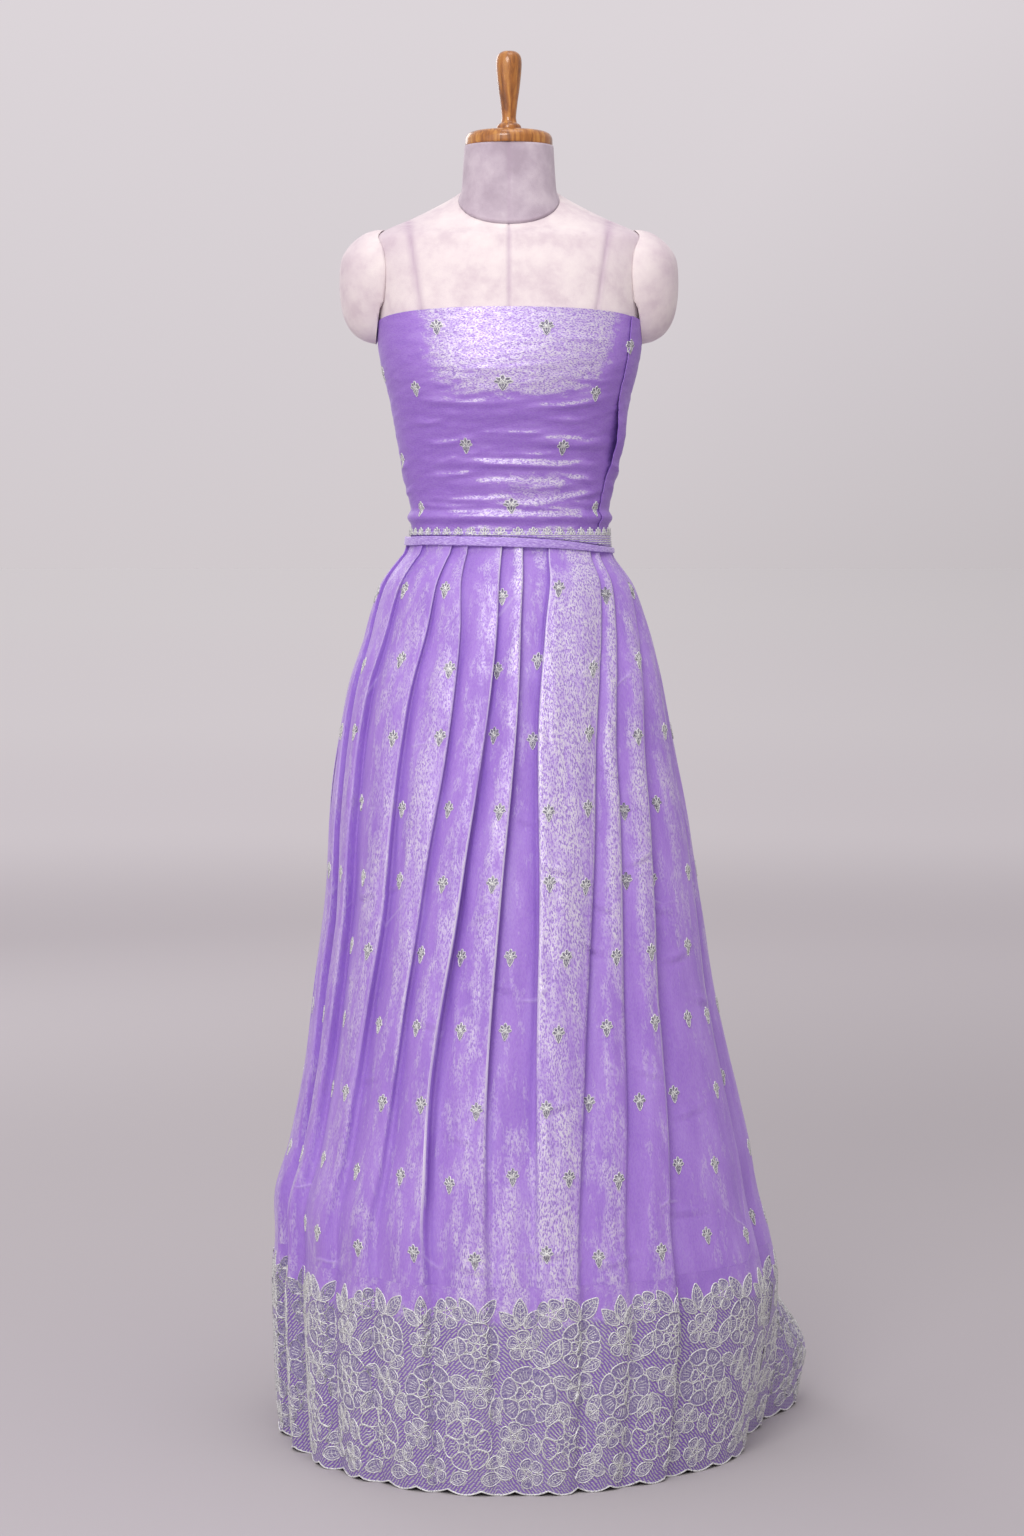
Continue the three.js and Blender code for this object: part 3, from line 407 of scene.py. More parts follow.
def node(tree, kind, inputs=(), output=None, stops=(), **settings):
    """Adds a node and returns its output: the first in use, or the one named. inputs gives the
    sockets in use, by name or in their order, a number, a colour or another node's output. A colour
    ramp has stops, pairs of a place and a hex colour."""
    made = tree.nodes.new("ShaderNode" + kind)
    for key, value in settings.items():
        setattr(made, key, value)
    used = [socket for socket in made.inputs if socket.enabled]
    for key, value in inputs.items() if isinstance(inputs, dict) else enumerate(inputs):
        socket = made.inputs[key] if isinstance(key, str) else used[key]
        if isinstance(value, bpy.types.NodeSocket):
            tree.links.new(value, socket)
        else:
            socket.default_value = value
    for number, (place, code) in enumerate(stops):
        elements = made.color_ramp.elements
        element = elements[number] if number < 2 else elements.new(place)
        element.position, element.color = place, linear(code)
    return made.outputs[output] if output else next(socket for socket in made.outputs if socket.enabled)


def new_material(name):
    """A new material with only a Principled shader and its output, and the function that adds nodes
    to it."""
    material = bpy.data.materials.new(name)
    material.use_nodes = True
    return material, functools.partial(node, material.node_tree)


def finish(material, values, relief=None, strength=0.0, depth_mm=0.0):
    """Gives a material's shader its values, each a number, a colour or a node's output, and a fine
    relief of a strength and depth."""
    tree = material.node_tree
    shader = tree.nodes["Principled BSDF"]
    if relief is not None:
        raised = {"Strength": strength, "Distance": depth_mm * MM, "Height": relief}
        values = {**values, "Normal": node(tree, "Bump", raised)}
    for key, value in values.items():
        if isinstance(value, bpy.types.NodeSocket):
            tree.links.new(value, shader.inputs[key])
        else:
            shader.inputs[key].default_value = value
    return material


# Materials

# The crease colour is painted highlight and LAP_SHADE painted shadow; the two stitch colours are the
# border's own.
CREASE_HIGHLIGHT, LAP_SHADE, STITCHED_GROUND, STITCH_THREAD = "#E9E0F6", "#7B4FB4", "#775BAA", "#C9C8CD"
ORGANZA_SHEEN = {"Sheen Weight": 0.22, "Sheen Roughness": 0.3, "Sheen Tint": linear("#E9E4F4")}


def organza_grain(add, colours, grain_mm, down_mm):
    """The lilac cloth and its glitter. Returns its colour, its two patterns, and how much the metal
    weft shows. The threads are finer than a pixel, so they are drawn as grains of one to five
    millimetres, pale and dark by turns, where the cloth's gleam attribute is high."""
    place = add("TexCoord", output="Object")
    gleam = add("Attribute", output="Fac", attribute_name="gleam")
    long = grain_mm / down_mm
    scale = (1 / (grain_mm * MM), 1 / (grain_mm * MM), 1 / (down_mm * MM))
    grains = add("Mapping", {"Vector": place, "Scale": scale})
    glitter = add("TexNoise", {"Vector": grains, "Scale": 1.0, "Detail": 1.5, "Roughness": 0.7})
    streaks = add("Mapping", {"Vector": place, "Scale": (1, 1, long**1.3)})
    clouds = add("TexNoise", {"Vector": streaks, "Scale": 34.0, "Detail": 3.0, "Roughness": 0.55})
    patches = add("Mapping", {"Vector": place, "Scale": (1, 1, long / 1.6)})
    patches = add("TexNoise", {"Vector": patches, "Scale": 95.0, "Detail": 3.0, "Roughness": 0.65})
    patchy = add("MapRange", [patches, 0.36, 0.64, -0.45, 0.3])
    # shown is how much painted glitter shows; fold_shade is the painted shade deep in a fold, from the
    # attribute's low end.
    shown = add("Math", [gleam, patchy], operation="ADD", use_clamp=True)
    fold_shade = add("Math", [gleam, -0.65], operation="MULTIPLY", use_clamp=True)
    stops = [(0.3, colours.valley), (0.52, colours.cloth), (0.75, colours.cloth_light)]
    even = add("ValToRGB", [clouds], stops=stops)
    ground = add("Mix", [fold_shade, even, linear(colours.fold_shade)], data_type="RGBA")
    # The painted glitter: pale grains of metal thread with darker specks.
    stops = [(0.34, colours.thread_dark), (0.43, colours.cloth_light), (0.545, colours.thread)]
    threads = add("ValToRGB", [glitter], stops=stops)
    glitter_amount = add("Math", [shown, 0.78, 0.07], operation="MULTIPLY_ADD")
    return add("Mix", [glitter_amount, ground, threads], data_type="RGBA"), patches, glitter, shown


def organza_nodes(add, colours, grain_mm, down_mm, creased):
    """The grained cloth with its pleats' edges, a pale lip and a dark line under it, and with a few
    fine creases. Returns its colour, its height for a bump, and how much the metal weft shows."""
    grained, patches, glitter, shown = organza_grain(add, colours, grain_mm, down_mm)
    place = add("TexCoord", output="Object")
    edge = add("Attribute", output="Fac", attribute_name="edge")
    crisp = add("Attribute", output="Fac", attribute_name="crisp")
    # Painted highlight along each pleat's lip and painted shadow on the cloth just under it, both as strong
    # as the crisp attribute.
    lip = add("Math", [edge, -0.6, 0.3], operation="COMPARE")
    lip = add("Math", [lip, crisp], operation="MULTIPLY")
    under = add("MapRange", [edge, -0.1, 0.2, 0.0, 0.85])
    faded = add("MapRange", [edge, 0.9, 2.2, 1.0, 0.0])
    under = add("Math", [under, faded], operation="MULTIPLY")
    under = add("Math", [under, crisp], operation="MULTIPLY")
    bent = add("TexNoise", {"Vector": place, "Scale": 9.0, "Detail": 2.0}, "Color")
    bent = add("Mix", [0.06, place, bent], data_type="VECTOR")
    cells = add("TexVoronoi", {"Vector": bent, "Scale": 9.0}, feature="DISTANCE_TO_EDGE")
    line = add("MapRange", [cells, 0.0, 0.022, 1.0, 0.0])
    sparse = add("TexNoise", {"Vector": place, "Scale": 13.0, "Detail": 1.0})
    sparse = add("MapRange", [sparse, 0.55, 0.66, 0.0, creased])
    line = add("Math", [line, sparse], operation="MULTIPLY")
    # pale is the painted highlight on the crease lines and the lips.
    pale = add("Math", [line, 0.45], operation="MULTIPLY")
    pale = add("Math", [pale, lip], operation="MAXIMUM")
    shaded = add("Mix", [under, grained, linear(LAP_SHADE)], data_type="RGBA")
    colour = add("Mix", [pale, shaded, linear(CREASE_HIGHLIGHT)], data_type="RGBA")
    height = add("Math", [patches, 1.6, glitter], operation="MULTIPLY_ADD")
    height = add("Math", [line, 2.4, height], operation="MULTIPLY_ADD")
    return colour, height, shown


def tissue_organza(name, colours, grain_mm, down_mm, creased):
    """Tissue organza, plain woven of lilac silk-like warp and flat metallic weft over a lilac
    lining. It gives a saturated lilac, and a grainy pale glitter where a fold turns to the light."""
    material, add = new_material(name)
    colour, height, shown = organza_nodes(add, colours, grain_mm, down_mm, creased)
    # Where the painted glitter shows, the cloth is also a little more metallic and smoother.
    metal = add("MapRange", {"Value": shown, "To Min": 0.0, "To Max": 0.3})
    rough = add("MapRange", {"Value": shown, "To Min": 0.52, "To Max": 0.44})
    values = {"Base Color": colour, "Metallic": metal, "Roughness": rough, **ORGANZA_SHEEN}
    return finish(material, values, height, 0.6, 0.7)


def worked_organza(colours):
    """The same organza under rows of short slanting silver running stitches, 4.4 mm apart, coarser
    than real so that they show, and mirrored at the middle of each side. They give a fine silver
    hatching up to an uneven line under the upper flowers, and the plain cloth above it."""
    material, add = new_material("lilac organza with silver running stitch")
    colour, height, _ = organza_nodes(add, colours, 1.5, 2.6, 0.0)
    place = add("TexCoord", output="UV")
    u, v, _ = add("SeparateXYZ", [place]).node.outputs
    wander = add("TexNoise", {"Vector": place, "Scale": 60.0, "Detail": 1.0})
    mirrored = add("Math", [u], operation="ABSOLUTE")
    bent = add("Math", [wander, 0.008, mirrored], operation="MULTIPLY_ADD")
    slant = add("Math", [v, 0.9, bent], operation="MULTIPLY_ADD")
    rows = add("Math", [slant, 1 / (STITCH_ROWS * MM)], operation="MULTIPLY")
    row = add("Math", [rows], operation="FRACT")
    number = add("Math", [rows], operation="FLOOR")
    shifted = add("Math", [number, 0.37], operation="MULTIPLY")
    run = add("Math", [v, 1 / (STITCH_LENGTH * MM), shifted], operation="MULTIPLY_ADD")
    dash = add("Math", [run], operation="FRACT")
    across = add("Math", [row, 0.5], operation="PINGPONG")
    on_row = add("MapRange", [across, 0.22, 0.32, 0.0, 1.0])
    on_dash = add("MapRange", [dash, 0.78, 0.86, 1.0, 0.0])
    wave = add("Math", [wander, -0.04, v], operation="MULTIPLY_ADD")
    low = add("MapRange", [wave, 0.17, 0.182, 1.0, 0.0])
    stitch = add("Math", [on_row, on_dash], operation="MULTIPLY")
    worked = add("Math", [stitch, low], operation="MULTIPLY")
    shaded = add("Math", [low, 0.72], operation="MULTIPLY")
    under = add("Mix", [shaded, colour, linear(STITCHED_GROUND)], data_type="RGBA")
    mixed = add("Mix", [worked, under, linear(STITCH_THREAD)], data_type="RGBA")
    metal = add("MapRange", {"Value": worked, "To Min": 0.1, "To Max": 0.5})
    height = add("Math", [worked, 1.5, height], operation="MULTIPLY_ADD")
    values = {"Base Color": mixed, "Metallic": metal, "Roughness": 0.42, **ORGANZA_SHEEN}
    return finish(material, values, height, 0.6, 0.7)


def silver_cord(colours):
    """Silver zari cord, metal strip twisted round a core and laid down by machine. The twist gives
    small bright and dark breaks along every line."""
    material, add = new_material("laid silver zari cord")
    twist = add("TexNoise", {"Vector": add("TexCoord", output="Object"), "Scale": 620.0, "Detail": 1.0})
    # Painted glints and painted shade along the cord.
    stops = [(0.3, colours.silver_dark), (0.46, colours.silver), (0.62, "#F4F6F2")]
    tone = add("ValToRGB", [twist], stops=stops)
    return finish(material, {"Base Color": tone, "Metallic": 0.2, "Roughness": 0.36}, twist, 0.7, 0.5)


def filled_petal(name, dark, even, pale):
    """Petals and leaves filled with rows of silver thread. Open rows give a soft silvery lilac,
    because the ground shows through, and close ones a dull grey."""
    material, add = new_material(name)
    place = add("TexCoord", output="Object")
    rows = add("TexNoise", {"Vector": place, "Scale": 520.0, "Detail": 2.0, "Roughness": 0.7})
    tone = add("ValToRGB", [rows], stops=[(0.4, dark), (0.52, even), (0.66, pale)])
    return finish(material, {"Base Color": tone, "Metallic": 0.25, "Roughness": 0.45}, rows, 0.8, 0.5)


def band_cloth():
    """A folded strip of the plain lilac cloth, pressed and stitched. It is smoother than the
    organza, with a fine crosswise grain and soft puckers."""
    material, add = new_material("pressed plain lilac cloth")
    threads = add("Mapping", {"Vector": add("TexCoord", output="Object"), "Scale": (260, 260, 1100)})
    grain = add("TexNoise", {"Vector": threads, "Scale": 1.0, "Detail": 2.0})
    tone = add("ValToRGB", [grain], stops=[(0.35, "#A283D2"), (0.5, "#B595E4"), (0.68, "#D3C2F2")])
    values = {"Base Color": tone, "Metallic": 0.15, "Roughness": 0.45, "Sheen Weight": 0.4}
    return finish(material, values, grain, 0.5, 0.5)


def form_cotton(name, pale, even, dark):
    """Stretched plain cotton calico over padding, handled until it greys a little. It gives a dry
    surface with a fine thread grain, faint uneven tone and a lilac shade where the seam attribute
    is high."""
    material, add = new_material(name)
    place = add("TexCoord", output="Object")
    mottle = add("TexNoise", {"Vector": place, "Scale": 34.0, "Detail": 4.0, "Roughness": 0.6})
    threads = add("TexNoise", {"Vector": place, "Scale": 900.0, "Detail": 1.0})
    tone = add("ValToRGB", [mottle], stops=[(0.32, dark), (0.5, even), (0.7, pale)])
    seam = add("Attribute", output="Fac", attribute_name="seam")
    # The painted shade of the seams and the shoulders, in lilac.
    tone = add("Mix", [seam, tone, linear("#B9A0B6")], data_type="RGBA")
    height = add("Math", [mottle, 3.0, threads], operation="MULTIPLY_ADD")
    return finish(material, {"Base Color": tone, "Roughness": 0.86, "Sheen Weight": 0.25}, height, 0.5, 0.5)


def turned_wood(colours):
    """Sheesham-like hardwood, turned on a lathe and varnished: an orange brown with close darker
    growth lines, under a clear glossy coat."""
    material, add = new_material("turned and varnished hardwood")
    lines = add("Mapping", {"Vector": add("TexCoord", output="Object"), "Scale": (160, 160, 26)})
    grain = add("TexNoise", {"Vector": lines, "Scale": 1.0, "Detail": 4.0, "Distortion": 0.8})
    tone = add("ValToRGB", [grain], stops=[(0.3, "#74400F"), (0.5, colours.wood), (0.7, "#CE8F3E")])
    values = {"Base Color": tone, "Roughness": 0.4, "Coat Weight": 0.7, "Coat Roughness": 0.12}
    return finish(material, values, grain, 0.15, 0.4)


def black_iron():
    """Cast and turned iron under satin black paint, slightly orange-peeled."""
    material, add = new_material("satin painted iron")
    peel = add("TexNoise", {"Vector": add("TexCoord", output="Object"), "Scale": 300.0, "Detail": 2.0})
    tone = add("ValToRGB", [peel], stops=[(0.3, "#2C2C2F"), (0.7, "#3B3B3F")])
    return finish(material, {"Base Color": tone, "Roughness": 0.42}, peel, 0.3, 0.3)


def finish_for(kind):
    """Each material is made once, from the colours that the user has set."""
    colours = bpy.context.scene.lehenga_colours
    fills = (colours.fill_dark, colours.fill, "#B8B0C9")
    sprig_tones = ("#6B6380", "#8C869B", "#B6B8B4")
    # The neck's cover is given a darker, more lilac tone than the torso's.
    cotton, darker_tone = ("#F1E6E4", colours.form_cloth, "#DCCCD1"), ("#D2C5CE", "#C2B3BF", "#B5A5B2")
    makers = {
        "skirt": lambda: tissue_organza("lilac tissue organza, hanging", colours, 1.4, 4.8, 0.5),
        "bodice": lambda: tissue_organza("lilac tissue organza, wrapped", colours, 2.6, 1.1, 0.0),
        "worked": lambda: worked_organza(colours),
        "cord": lambda: silver_cord(colours),
        "fill": lambda: filled_petal("open silver thread filling", *fills),
        "sprig": lambda: filled_petal("close dark filling of the sprigs", *sprig_tones),
        "band": band_cloth,
        "cotton": lambda: form_cotton("stretched cotton calico", *cotton),
        "neck": lambda: form_cotton("stretched cotton calico, dusty", *darker_tone),
        "wood": lambda: turned_wood(colours),
        "iron": black_iron,
    }
    if kind not in _made:
        _made[kind] = makers[kind]()
    return _made[kind]


_made = {}


# Embroidery, drawn flat in millimetres and laid on the cloth


def loop_line(x, y):
    """A line of points from their two coordinates."""
    return np.stack([x, y], axis=-1)


def petal(inner, outer, half, steps, a, blunt=0.0):
    """A petal's outline at an angle: it runs out from the inner radius, round the tip and back. A
    blunt one has a full tip and is widest past the middle."""
    t = np.linspace(0, 1, steps + 1)
    x = inner + (outer - inner) * (1 - np.cos(2 * np.pi * t)) / 2
    y = half * np.sin(2 * np.pi * t) * (1 - blunt + blunt * 2 * (x - inner) / (outer - inner))
    return loop_line(x * np.cos(a) - y * np.sin(a), x * np.sin(a) + y * np.cos(a))


def petal_line(inner, outer, half, count, steps, turned=0.0):
    """The outlines of count blunt petals round a centre."""
    return [petal(inner, outer, half, steps, turned + 2 * np.pi * k / count, 0.42) for k in range(count)]


def ring_line(radius, steps):
    """A circle round the origin."""
    t = np.linspace(0, 2 * np.pi, steps + 1)
    return [loop_line(radius * np.cos(t), radius * np.sin(t))]


def ray_lines(count, near, far, offsets, turned=0.0):
    """Short straight dashes out from a centre, at offsets in degrees from each petal's middle."""
    lines = []
    for k in range(count):
        for offset in offsets:
            a = turned + 2 * np.pi * k / count + math.radians(offset)
            reach = far - 0.02 * (far - near) * abs(offset)
            d = np.array([math.cos(a), math.sin(a)])
            lines.append(np.stack([d * near, d * (near + reach) / 2, d * reach]))
    return lines


def flower(radius, turned):
    """A five-petalled flower: double petal outlines, dashes in each petal, and a ringed centre."""
    outer = petal_line(0.26 * radius, radius, 0.4 * radius, 5, 16, turned)
    inner = petal_line(0.36 * radius, 0.84 * radius, 0.27 * radius, 5, 10, turned)
    rays = ray_lines(5, 0.48 * radius, 0.74 * radius, (-9, 9), turned)
    thin = inner + rays + ring_line(0.09 * radius, 6)
    return dict(cord=outer + ring_line(0.2 * radius, 10), thin=thin, fill=outer)


def double_flower(radius, turned):
    """A large flower: seven outer petals with rays inside, round a scalloped inner flower."""
    outer = petal_line(0.44 * radius, radius, 0.36 * radius, 7, 16, turned)
    middle = petal_line(0.16 * radius, 0.5 * radius, 0.21 * radius, 5, 10, turned + 0.3)
    rays = ray_lines(7, 0.6 * radius, 0.9 * radius, (-11, -4, 4, 11), turned)
    inner_rays = ray_lines(5, 0.24 * radius, 0.4 * radius, (-10, 10), turned + 0.3)
    petals = outer + middle
    return dict(cord=petals + ring_line(0.13 * radius, 9), thin=rays + inner_rays, fill=petals)


def plain_flower(radius, turned):
    """A large flower whose petals stay bare inside a beaded outline, with fine veins."""
    outer = petal_line(0.3 * radius, radius, 0.4 * radius, 6, 18, turned)
    middle = petal_line(0.1 * radius, 0.42 * radius, 0.18 * radius, 6, 10, turned + 0.26)
    rays = ray_lines(6, 0.5 * radius, 0.72 * radius, (-10, 0, 10), turned)
    return dict(cord=outer + ring_line(0.1 * radius, 8), thin=middle + rays, fill=middle)


def leaf(length, half, turned):
    """A pointed leaf from its stalk at the origin, with a double edge, a midrib and slanted veins."""

    def outline(scale_l, scale_h, start):
        t = np.linspace(0, 1, 9)
        x = start + length * scale_l * t
        y = half * scale_h * np.sin(np.pi * t**0.85) ** 0.9
        return loop_line(np.concatenate([x, x[::-1][1:]]), np.concatenate([y, -y[::-1][1:]]))

    edge = [outline(1, 1, 0)]
    fine = [outline(0.8, 0.66, 0.08 * length), loop_line(np.linspace(0, 0.85 * length, 5), np.zeros(5))]
    for share in (0.22, 0.4, 0.58, 0.74):
        reach = half * math.sin(math.pi * share) * 0.72
        for side in (1, -1):
            fine.append(loop_line(np.array([share, share + 0.12]) * length, np.array([0.0, side * reach])))
    spin = np.array([[math.cos(turned), math.sin(turned)], [-math.sin(turned), math.cos(turned)]])
    edge, fine = ([line @ spin for line in lines] for lines in (edge, fine))
    return dict(cord=edge, thin=fine, fill=edge)


def moved(motif, u, v):
    """A motif carried to a place in the drawing."""
    return {kind: [line + (u, v) for line in lines] for kind, lines in motif.items()}


def gathered(motifs):
    """Joins motifs into one drawing."""
    return {kind: [line for m in motifs for line in m[kind]] for kind in ("cord", "thin", "fill")}


REPEAT = 121.0


def border_repeat():
    """One repeat of the border, in millimetres along it and up from the hem: a leafy upper edge
    over flowers, a middle row of large flowers and leaves, and a lower row by the hem."""
    r = math.radians
    place = [
        (flower(17, 0.3), 30, 168), (flower(17.5, 0.0), 64, 203), (double_flower(27, 0.5), 99, 168),
        (leaf(31, 7.5, r(92)), 28, 190), (leaf(27, 7, r(137)), 25, 187), (leaf(27, 7, r(50)), 32, 187),
        (leaf(33, 8.5, r(124)), 97, 194), (leaf(33, 8.5, r(48)), 101, 194),
        (leaf(30, 8.5, r(150)), 62, 146), (leaf(32, 9, r(62)), 60, 148), (leaf(25, 7, r(-100)), 48, 190),
        (double_flower(33, 0.1), 38, 112), (flower(19, 0.9), 101, 118),
        (leaf(29, 8, r(-68)), 74, 106), (leaf(29, 8, r(-118)), 73, 104), (leaf(24, 7.5, r(205)), 126, 148),
        (leaf(26, 7.5, r(-25)), 66, 132), (leaf(24, 7, r(-60)), 113, 101), (leaf(26, 7.5, r(245)), 4, 110),
        (flower(17.5, 0.2), 20, 66), (plain_flower(30, 0.2), 84, 58), (flower(17, 0.7), 40, 25),
        (leaf(25, 7.5, r(100)), 48, 46), (leaf(25, 7.5, r(25)), 62, 14), (leaf(25, 7.5, r(160)), 18, 22),
        (leaf(27, 8, r(10)), 100, 17), (leaf(22, 7, r(80)), 4, 34), (leaf(22, 7, r(205)), 126, 42),
    ]
    return gathered([moved(motif, u, v) for motif, u, v in place])


def sprig():
    """A small buti: a fan of five looped petals over a tapering drop that points down."""
    lengths = (7.2, 8.4, 9.6, 8.4, 7.2)
    petals = [petal(0.4, 0.4 + lengths[k], 1.9, 7, math.radians(90 + (k - 2) * 38)) for k in range(5)]
    t = np.linspace(0, 1, 8)
    half, down = 3.7 * np.sin(np.pi * t**0.55), 1.2 - 12.0 * t
    drop = loop_line(np.concatenate([half, -half[::-1][1:]]), np.concatenate([down, down[::-1][1:]]))
    return dict(cord=petals + [drop], thin=[drop * (0.4, 0.62) + (0, -0.8)], fill=petals + [drop])


def line_lengths(line):
    """How far along a line of points each one is."""
    return np.concatenate([[0], np.cumsum(np.linalg.norm(np.diff(line, axis=0), axis=1))])


def lay_cords(lines, width, height, surface, step):
    """Raised cords on the cloth. Each line is spaced out evenly, and its section is a low ridge:
    both edges lie just on the cloth and the middle stands up. Returns points and faces."""
    flat, ids = [], []
    for number, line in enumerate(lines):
        length = line_lengths(line)
        count = max(2, int(round(length[-1] / step)) + 1)
        at = np.linspace(0, length[-1], count)
        flat.append(loop_line(*(np.interp(at, length, line[:, k]) for k in (0, 1))))
        ids.append(np.full(count, number))
    p, ids = np.concatenate(flat), np.concatenate(ids)
    joined = ids[1:] == ids[:-1]
    ahead = np.zeros_like(p)
    d = p[1:] - p[:-1]
    ahead[:-1][joined] += d[joined]
    ahead[1:][joined] += d[joined]
    ahead /= np.maximum(np.linalg.norm(ahead, axis=1, keepdims=True), 1e-9)
    side = loop_line(-ahead[:, 1], ahead[:, 0]) * width / 2
    points = np.stack([
        surface(p[:, 0] + side[:, 0], p[:, 1] + side[:, 1], 0.05),
        surface(p[:, 0], p[:, 1], height),
        surface(p[:, 0] - side[:, 0], p[:, 1] - side[:, 1], 0.05),
    ], axis=1)
    k = np.nonzero(joined)[0] * 3
    faces = [np.stack([k + n + 1, k + n, k + n + 3, k + n + 4], axis=-1) for n in (0, 1)]
    return points.reshape(-1, 3), np.concatenate(faces)


def lay_fills(lines, height, surface):
    """Flat fillings just over the cloth: each outline is drawn together towards its middle line,
    which keeps the faces four-sided."""
    points, faces, start = [], [], 0
    for line in lines:
        ring = line[:-1] if np.allclose(line[0], line[-1], atol=0.01) else line
        count = len(ring) // 2
        one = ring[: count + 1]
        two = np.concatenate([ring[:1], ring[::-1][:count]])[: len(one)]
        points.append(np.stack([one, (one + two) / 2, two], axis=1).reshape(-1, 2))
        faces.append(grid_faces(len(one), 3) + start)
        start += len(one) * 3
    p = np.concatenate(points)
    return surface(p[:, 0], p[:, 1], height), np.concatenate(faces)


def lay_sprig(unit, surface):
    """One sprig's cords and fillings, with their materials' numbers."""
    return [
        (0, lay_cords(unit["cord"], 1.15, 1.1, surface, 2.0)),
        (0, lay_cords(unit["thin"], 0.9, 1.0, surface, 2.6)),
        (1, lay_fills(unit["fill"], 0.4, surface)),
    ]


def make_worked(name, parts, second, replaces=()):
    """Joins meshes into one piece, and turns round the faces that look inwards. parts holds pairs
    of a material's number, 0 for silver cord and 1 for the second one, and points with faces."""
    points, faces, which, start = [], [], [], 0
    for number, (p, f) in parts:
        points.append(p.reshape(-1, 3))
        faces.append(f + start)
        which.append(np.full(len(f), number))
        start += len(points[-1])
    points, faces, which = (np.concatenate(values) for values in (points, faces, which))
    a, b, c = (points[faces[:, k]] for k in (0, 1, 2))
    outward = points[faces].mean(axis=1) * (1, 1, 0)
    wrong = (np.cross(b - a, c - a) * outward).sum(axis=1) < 0
    faces[wrong] = faces[wrong][:, ::-1]
    materials = [finish_for("cord"), finish_for(second)]
    return make_piece(name, points, faces, materials, replaces, which=which)


def skirt_normal(place, z):
    """The outward direction of the skirt, from two short steps on it."""
    across = skirt_point(place + 0.004, z) - skirt_point(place - 0.004, z)
    up = skirt_point(place, z + 1.0) - skirt_point(place, z - 1.0)
    n = np.cross(across, up)
    return n / np.maximum(np.linalg.norm(n, axis=-1, keepdims=True), 1e-9)


def girth(z, start, end, samples=6000):
    """Places along the skirt at a height, and how far round each is in millimetres."""
    places = np.linspace(start, end, samples)
    return places, line_lengths(skirt_point(places, np.full(samples, float(z))))


def on_skirt(places, run, u, v, height):
    """Points at a height over the skirt, u millimetres round it and v up it."""
    place = np.interp(np.clip(u, 0, run[-1]), run, places)
    return skirt_point(place, v) + skirt_normal(place, v) * height


SIDES = {"front": (LEFT_SEAM, RIGHT_SEAM), "back": (RIGHT_SEAM, LEFT_SEAM + len(FOLDS))}


# Pieces


def set_seam_shade(piece, seam):
    """Stores the lilac shade on the form's cover, from 0 to 1: the dust that the sewn seams hold,
    and the soft shadow on the shoulders. The points that close a piece's ends come last and have
    none."""
    layer = piece.data.attributes.new("seam", "FLOAT", "POINT")
    values = np.zeros(len(piece.data.vertices))
    values[: seam.size] = np.clip(seam, 0, 1).ravel()
    layer.data.foreach_set("value", values)


def capped(p, foot=None, top=None):
    """A grid of rings, closed by a fan of triangles at each end. The fans meet at foot and top, or
    else at the middles of the end rings. Returns points and faces."""
    rows, columns = p.shape[:2]
    n, base = np.arange(columns), rows * columns
    after, grid = (n + 1) % columns, grid_faces(rows, columns, ring=True)
    below = np.stack([np.full(columns, base), after, n], axis=-1)
    above = np.stack([base - columns + n, base - columns + after, np.full(columns, base + 1)], axis=-1)
    foot = p[0].mean(axis=0) if foot is None else foot
    top = p[-1].mean(axis=0) if top is None else top
    faces = np.concatenate([grid[:, [0, 1, 2]], grid[:, [0, 2, 3]], below, above])
    return np.concatenate([p.reshape(-1, 3), [foot, top]]), faces


def radial(t, up=0.0):
    """Directions out from the upright middle line at each turn, with a part of up."""
    return np.stack([np.sin(np.radians(t)), -np.cos(np.radians(t)), up + 0 * t], axis=-1)


def build_form():
    """Covers the torso, the neck and the two shoulder pads, and finishes the hidden stand."""
    build_torso()
    build_neck()
    for side, label in ((1, "right"), (-1, "left")):
        build_pad(side, label)
    for name, kind in (("form_board", "wood"), ("stand_pole", "iron"), ("stand_foot", "iron")):
        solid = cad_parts[name]
        solid.data.materials.clear()
        solid.data.materials.append(finish_for(kind))


def build_torso():
    """The form's sections carried up it as a closed shell, sunk along the seams in shallow puckered
    grooves. The two front seams spread upwards, and one runs down the middle of the front."""
    foot_z, shown_z, top_z = FORM_SECTIONS[0, 0], 1240, FORM_SECTIONS[-1, 0]
    sections = np.concatenate([np.linspace(foot_z, 1270, 16), np.linspace(1276, top_z, 64)])
    t, s = np.meshgrid(np.linspace(0, 360, 340, endpoint=False), sections)
    p = form_point(t, s)
    seam = np.interp(p[..., 2], [1230, 1334, 1400, 1450], [92, 102, 112, 120])
    groove = bump((np.abs(p[..., 0]) - seam) / 2.2) + bump(p[..., 0] / 2.0) * (p[..., 1] < 0)
    puckers = 1 + 0.5 * ripple(p[..., 2] / 7, p[..., 0] / 60, 5)
    shown = smooth((s - shown_z) / 40)
    p = p - radial(t, 0.6) * (groove * puckers * 0.9 * shown)[..., None]
    points, faces = capped(p, foot=[0, 4, foot_z])
    body = make_piece("form_body", points, faces, [finish_for("cotton")], ["form_torso"])
    # Painted shadow along the seams and painted shade towards the shoulders.
    shadow = 0.4 * bump((np.abs(p[..., 0]) - seam) / 9) + 0.3 * bump(p[..., 0] / 5) * (p[..., 1] < 0)
    shoulder = 0.42 * smooth((np.abs(p[..., 0]) - 70) / 80) * smooth((p[..., 2] - 1350) / 90)
    set_seam_shade(body, shadow * shown + groove * 0.18 + shoulder)


